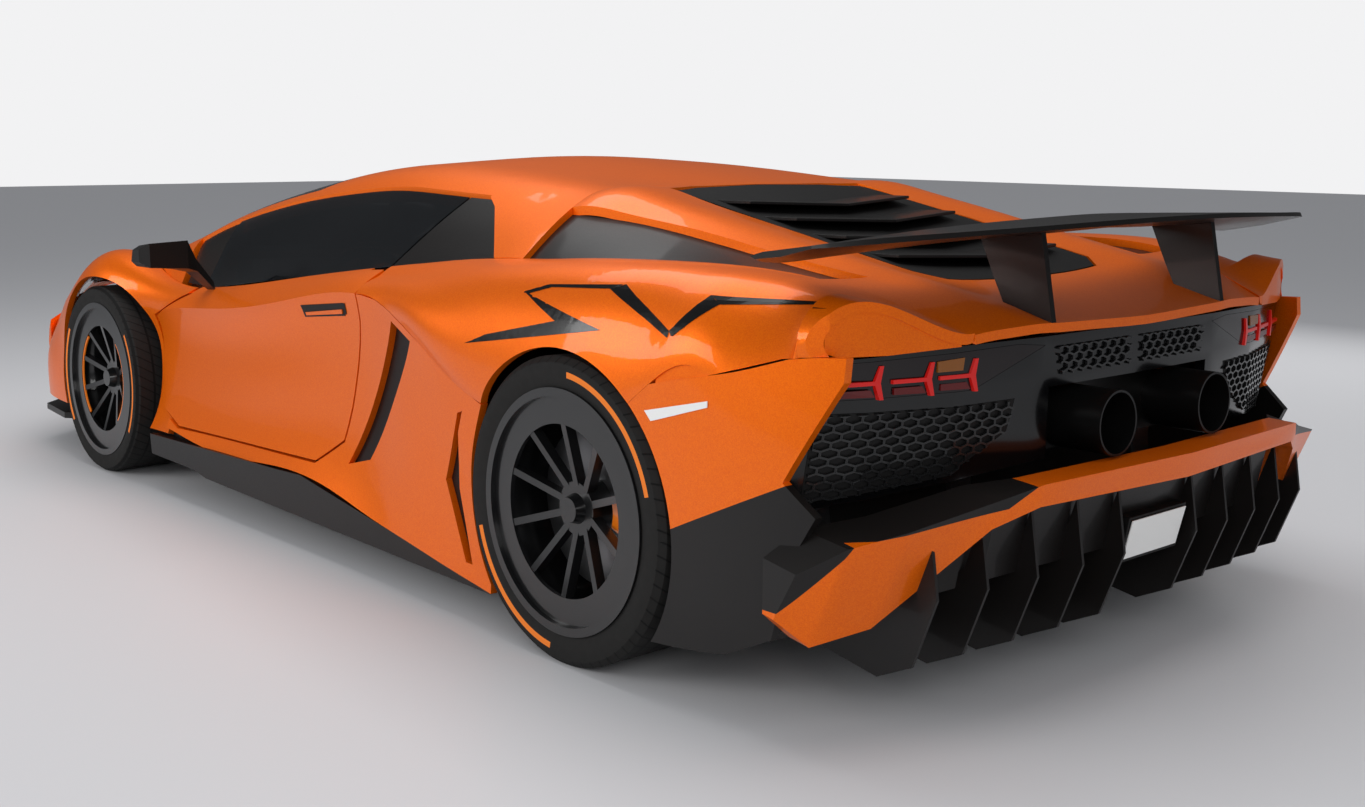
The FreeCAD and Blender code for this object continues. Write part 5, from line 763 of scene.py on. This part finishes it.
def lamp_face(y):
    """Place along the car of the lamp's face at one distance from the middle."""
    for (y0, x0), (y1, x1) in zip(LAMP_FACE, LAMP_FACE[1:]):
        if y <= y1:
            return x0 + (x1 - x0) * (y - y0) / (y1 - y0)
    return LAMP_FACE[-1][1]


def lamp_plate(outline, side, depth):
    """A flat guide on the lamp's face, from an outline across and up, for one side of the car."""
    front = [(lamp_face(y) - depth, side * y, z) for y, z in outline]
    back = [(lamp_face(y) + depth, side * y, z) for y, z in outline]
    return drawn_bar([front, back])


def fork_outline(node, stem, middle):
    """Outline of one fork: stem towards the flank, arms towards the middle of the car."""
    t, a, w = GUIDE_BAR, ARM_LEAN, ARM_WIDTH
    return [(node + stem, middle + t), (node + t, middle + t), (node - a + w, middle + ARM_RISE),
            (node - a, middle + ARM_RISE), (node - w, middle), (node - a, middle - ARM_RISE),
            (node - a + w, middle - ARM_RISE), (node + t, middle - t), (node + stem, middle - t)]


def lamp_plastic(name, colour, roughness, coat, glow=0.0):
    """Acrylic coloured right through: an even gloss, and a faint glow where it leads light."""
    material, tree = new_material(name)
    finish(tree, add(tree, "ShaderNodeBsdfPrincipled",
                     {"Base Color": linear(colour), "Roughness": roughness, "Coat Weight": coat,
                      "Emission Color": linear(GLOW_RED), "Emission Strength": glow}))
    return material


RED_GUIDE = lamp_plastic("red_light_guide", "#B00C0A", 0.30, 0.2, 0.12)
AMBER_GUIDE = lamp_plastic("amber_light_guide", "#7E4A14", 0.25, 0.3)
DEEP_RED = lamp_plastic("deep_red_reflector", "#560607", 0.25, 0.2)
for side, side_name in SIDES:
    forks = [lamp_plate(fork_outline(node, FORK_STEM, LAMP_MIDDLE), side, GUIDE_DEPTH)
             for node in FORK_NODES]
    settle(joined(forks), "lamp_forks_" + side_name, RED_GUIDE, "car")
    settle(lamp_plate(AMBER_OUTLINE, side, GUIDE_DEPTH), "lamp_amber_" + side_name, AMBER_GUIDE, "car")
    reds = []
    for node in FORK_NODES:
        outline = [(node + outer, z) for outer, z in REFLECTOR]
        reds.append(lamp_plate(outline, side, GUIDE_DEPTH / 2))
    settle(joined(reds), "lamp_reflectors_" + side_name, DEEP_RED, "car")
print("lamp guides on both sides")

# %% [markdown]
# The air outlets under the lamps are closed by a moulded honeycomb of stretched cells. One
# hexagon, just as large as lets it meet its neighbours, is inset and its middle deleted, which
# leaves a flat frame. Two arrays repeat it in staggered rows, bisect trims the field to the
# outlet's outline, a shrinkwrap presses it onto the outlet's backing, and a solidify gives the
# bars their depth. The panel between the lamps carries a band of the same comb on each side of
# its middle. The bars' edges catch thin lights, which tell the comb from its dark backing.

# %% Honeycomb outlets
CELL_WIDTH = 0.036
CELL_HEIGHT = 0.020
CELL_BAR = 0.0022
CELL_SPREAD = (1.14, 1.16)
ROW_STEP = CELL_HEIGHT * 0.86
START_BEHIND = 0.1
MESH_DEPTH = 0.006
MESH_OUTLINE = [(0.900, 0.660), (0.430, 0.657), (0.448, 0.594), (0.600, 0.514), (0.896, 0.480)]
BAND_OUTLINE = [(0.300, 0.762), (0.022, 0.762), (0.022, 0.700), (0.285, 0.700)]
COMB_BLACK = moulded_black("honeycomb_moulding", "#161617", 0.28, 0.5, 0.006, 0.00002)


def honeycomb(outline, side, target):
    """A field of stretched hexagons, cut to an outline as seen from behind, pressed onto a node."""
    ys, zs = [p[0] for p in outline], [p[1] for p in outline]
    bpy.ops.object.select_all(action="DESELECT")
    bpy.ops.mesh.primitive_circle_add(vertices=6, radius=0.5, fill_type="NGON")
    field = bpy.context.object
    field.scale = (CELL_WIDTH * CELL_SPREAD[0], CELL_HEIGHT * CELL_SPREAD[1], 1)
    bpy.ops.object.transform_apply(location=False, rotation=False, scale=True)
    bpy.ops.object.mode_set(mode="EDIT")
    bpy.ops.mesh.select_all(action="SELECT")
    bpy.ops.mesh.inset(thickness=CELL_BAR, use_even_offset=True)
    bpy.ops.mesh.delete(type="FACE")
    bpy.ops.mesh.select_all(action="SELECT")
    bpy.ops.mesh.duplicate_move(TRANSFORM_OT_translate={"value": (CELL_WIDTH / 2, ROW_STEP, 0)})
    bpy.ops.object.mode_set(mode="OBJECT")
    columns = math.ceil((max(ys) - min(ys)) / CELL_WIDTH) + 1
    rows = math.ceil((max(zs) - min(zs)) / (2 * ROW_STEP)) + 1
    apply_modifier(field, "ARRAY", count=columns, use_relative_offset=False, use_constant_offset=True,
                   constant_offset_displace=(CELL_WIDTH, 0, 0))
    apply_modifier(field, "ARRAY", count=rows, use_relative_offset=False, use_constant_offset=True,
                   constant_offset_displace=(0, 2 * ROW_STEP, 0))
    field.rotation_euler = (math.pi / 2, 0, -math.pi / 2)
    field.location = (TAIL_X - START_BEHIND, max(ys), min(zs))
    select_only(field)
    bpy.ops.object.transform_apply(location=True, rotation=True, scale=True)
    trim(field, outline, (1, 2))
    if side < 0:
        field.scale = (1, -1, 1)
        select_only(field)
        bpy.ops.object.transform_apply(location=False, rotation=False, scale=True)
        bpy.ops.object.mode_set(mode="EDIT")
        bpy.ops.mesh.select_all(action="SELECT")
        bpy.ops.mesh.flip_normals()
        bpy.ops.object.mode_set(mode="OBJECT")
    apply_modifier(field, "SHRINKWRAP", target=NODES[target], wrap_method="PROJECT", use_project_x=True,
                   use_negative_direction=False, use_positive_direction=True, offset=SHEET_LIFT)
    drop_missed(field, 0, abs(TAIL_X))
    apply_modifier(field, "SOLIDIFY", thickness=MESH_DEPTH, offset=1.0)
    return field


for side, side_name in SIDES:
    comb = honeycomb(MESH_OUTLINE, side, "grilles")
    settle(comb, "outlet_honeycomb_" + side_name, COMB_BLACK, "car")
    band = honeycomb(BAND_OUTLINE, side, "rear_fascia")
    settle(band, "fascia_honeycomb_" + side_name, COMB_BLACK, "car")
    print("honeycomb", side_name, "faces", len(comb.data.polygons), "and", len(band.data.polygons))


# %% [markdown]
# The front wheels carry an orange ring on their spokes, broken at the top and the bottom. Each
# half is a flat bar drawn along an arc: the same small rectangle, set at one angle after another
# around the hub. A spun profile would do as well, but this helper is already there. The enamel
# is a smooth satin orange.

# %% Rings on the front wheels
RING_INNER = 0.180
RING_OUTER = 0.190
RING_REACH = (0.106, 0.111)
RING_HALF_ANGLE = math.radians(48)
RING_STEPS = 16
RING_ORANGE = moulded_black("ring_enamel", "#F07A12", 0.35, 0.3, 0.004, 0.00002)


def ring_half(hub, outward, middle):
    """One half of a wheel's ring, around a hub; outward is 1 on the left and -1 on the right."""
    sections = []
    for step in range(RING_STEPS + 1):
        angle = middle + RING_HALF_ANGLE * (2 * step / RING_STEPS - 1)
        way = Vector((math.cos(angle), 0, math.sin(angle)))
        corners = ((RING_INNER, RING_REACH[0]), (RING_OUTER, RING_REACH[0]),
                   (RING_OUTER, RING_REACH[1]), (RING_INNER, RING_REACH[1]))
        sections.append([hub + way * radius + Vector((0, outward * reach, 0))
                         for radius, reach in corners])
    return drawn_bar(sections)


for side, side_name in SIDES:
    hub = HUB["front_" + side_name]
    halves = [ring_half(hub, side, middle) for middle in (0.0, math.pi)]
    body = "front_" + side_name + "_wheel"
    settle(joined(halves), "wheel_ring_front_" + side_name, RING_ORANGE, body)
print("rings at", round(RING_OUTER, 3), "from the hub")

# %% [markdown]
# A bowed heat shield closes the bay under the exhaust outlets, so that no daylight shows through
# the tail. It is one dark sheet from side to side, drawn through five sections.

# %% Heat shield in the rear bay
SHIELD_STATIONS = [(-0.74, -2.030), (-0.30, -2.075), (0.0, -2.085), (0.30, -2.075), (0.74, -2.030)]
SHIELD_LOW, SHIELD_HIGH = 0.300, 0.640
SHIELD_WALL = 0.003
SHIELD_LEAN = 0.040


def shield_section(y, x):
    """Ring of the heat shield at one place across: it leans forward towards its top."""
    return [(x, y, SHIELD_LOW), (x + SHIELD_WALL, y, SHIELD_LOW),
            (x + SHIELD_LEAN + SHIELD_WALL, y, SHIELD_HIGH), (x + SHIELD_LEAN, y, SHIELD_HIGH)]


shield = drawn_bar([shield_section(*station) for station in SHIELD_STATIONS])
settle(shield, "bay_heat_shield", MATT_BLACK, "car")
print("heat shield from", SHIELD_LOW, "to", SHIELD_HIGH)

# %% [markdown]
# A blank white number plate sits in the middle of the diffuser, in a thin black frame. It is
# painted aluminium, smooth and a little glossy.

# %% Number plate
PLATE_PLACE = Vector((-2.330, 0.0, 0.318))
PLATE_HALF = (0.110, 0.046)
PLATE_WALL = 0.004
PLATE_LEAN = 0.012
PLATE_BEVEL = 0.001
HOLDER_RIM = 0.008
HOLDER_DEPTH = 0.03
HOLDER_BEVEL = 0.002
PLATE_WHITE = moulded_black("painted_aluminium_plate", "#ECECEA", 0.35, 0.2, 0.01, 0.00001)


def plate_sections(half_width, half_height, start, wall):
    """Front and back outlines of a leaning plate."""
    rings = []
    for x in (start, start + wall):
        rings.append([(x - PLATE_LEAN * up, half_width * across, PLATE_PLACE.z + half_height * up)
                      for across, up in ((-1, -1), (1, -1), (1, 1), (-1, 1))])
    return rings


plate = drawn_bar(plate_sections(*PLATE_HALF, PLATE_PLACE.x, PLATE_WALL), PLATE_BEVEL)
settle(plate, "number_plate", PLATE_WHITE, "car")
holder = drawn_bar(plate_sections(PLATE_HALF[0] + HOLDER_RIM, PLATE_HALF[1] + HOLDER_RIM,
                                  PLATE_PLACE.x + PLATE_WALL, HOLDER_DEPTH), HOLDER_BEVEL)
settle(holder, "plate_holder", MATT_BLACK, "car")
print("plate", [2 * h for h in PLATE_HALF])

# %% [markdown]
# A plain studio: one pale floor under a pale sky, a broad soft lamp overhead and three soft lamps
# around the car. The paint mirrors a dim sky and only three of the lamps, so that the orange
# stays deep and the blacks stay dark.

# %% Studio
FLOOR_COLOUR = "#C6C6C8"
FLOOR_SIZE = 60.0
SKY_COLOUR = "#E8EAEE"
SKY_LIGHT = 0.62
SKY_IN_PAINT = 0.10
BACKDROP_COLOUR = "#F2F2F3"
bpy.ops.mesh.primitive_plane_add(size=FLOOR_SIZE)
floor = bpy.context.object
floor.name = "studio_floor"
floor_material, floor_tree = new_material("pale_studio_floor")
finish(floor_tree, add(floor_tree, "ShaderNodeBsdfPrincipled",
                       {"Base Color": linear(FLOOR_COLOUR), "Roughness": 0.45, "Specular IOR Level": 0.15}))
floor.data.materials.append(floor_material)

world = bpy.data.worlds.new("studio_world")
world.use_nodes = True
world_tree = world.node_tree
world_tree.nodes.clear()
path = add(world_tree, "ShaderNodeLightPath")
soft = add(world_tree, "ShaderNodeBackground", {"Color": linear(SKY_COLOUR), "Strength": SKY_LIGHT})
seen = add(world_tree, "ShaderNodeBackground", {"Color": linear(BACKDROP_COLOUR), "Strength": 1.0})
dim = add(world_tree, "ShaderNodeBackground", {"Color": linear(SKY_COLOUR), "Strength": SKY_IN_PAINT})
matt = add(world_tree, "ShaderNodeMixShader",
           {0: path.outputs["Is Glossy Ray"], 1: soft.outputs[0], 2: dim.outputs[0]})
both = add(world_tree, "ShaderNodeMixShader",
           {0: path.outputs["Is Camera Ray"], 1: matt.outputs[0], 2: seen.outputs[0]})
add(world_tree, "ShaderNodeOutputWorld", {"Surface": both.outputs[0]})
bpy.context.scene.world = world


def soft_lamp(name, place, target, size, size_y, power, mirrored=True):
    """A rectangular softbox that points at a target; the paint mirrors it or not."""
    bpy.ops.object.light_add(type="AREA", location=place)
    lamp = bpy.context.object
    lamp.name = name
    lamp.data.shape = "RECTANGLE"
    lamp.data.size = size
    lamp.data.size_y = size_y
    lamp.data.energy = power
    lamp.visible_glossy = mirrored
    lamp.rotation_euler = (Vector(target) - Vector(place)).to_track_quat("-Z", "Y").to_euler()
    return lamp


soft_lamp("overhead_softbox", (0, 0, 4.5), (0, 0, 0), 7.0, 3.0, 150)
soft_lamp("rear_left_softbox", (-5.5, 4.0, 2.6), (-0.6, 0, 0.6), 4.0, 2.0, 95)
soft_lamp("left_softbox", (2.0, 6.0, 2.4), (0, 0, 0.5), 5.0, 1.8, 150)
soft_lamp("right_softbox", (0.0, -6.0, 2.4), (0, 0, 0.5), 5.0, 1.8, 90, mirrored=False)
print("one floor and four softboxes")
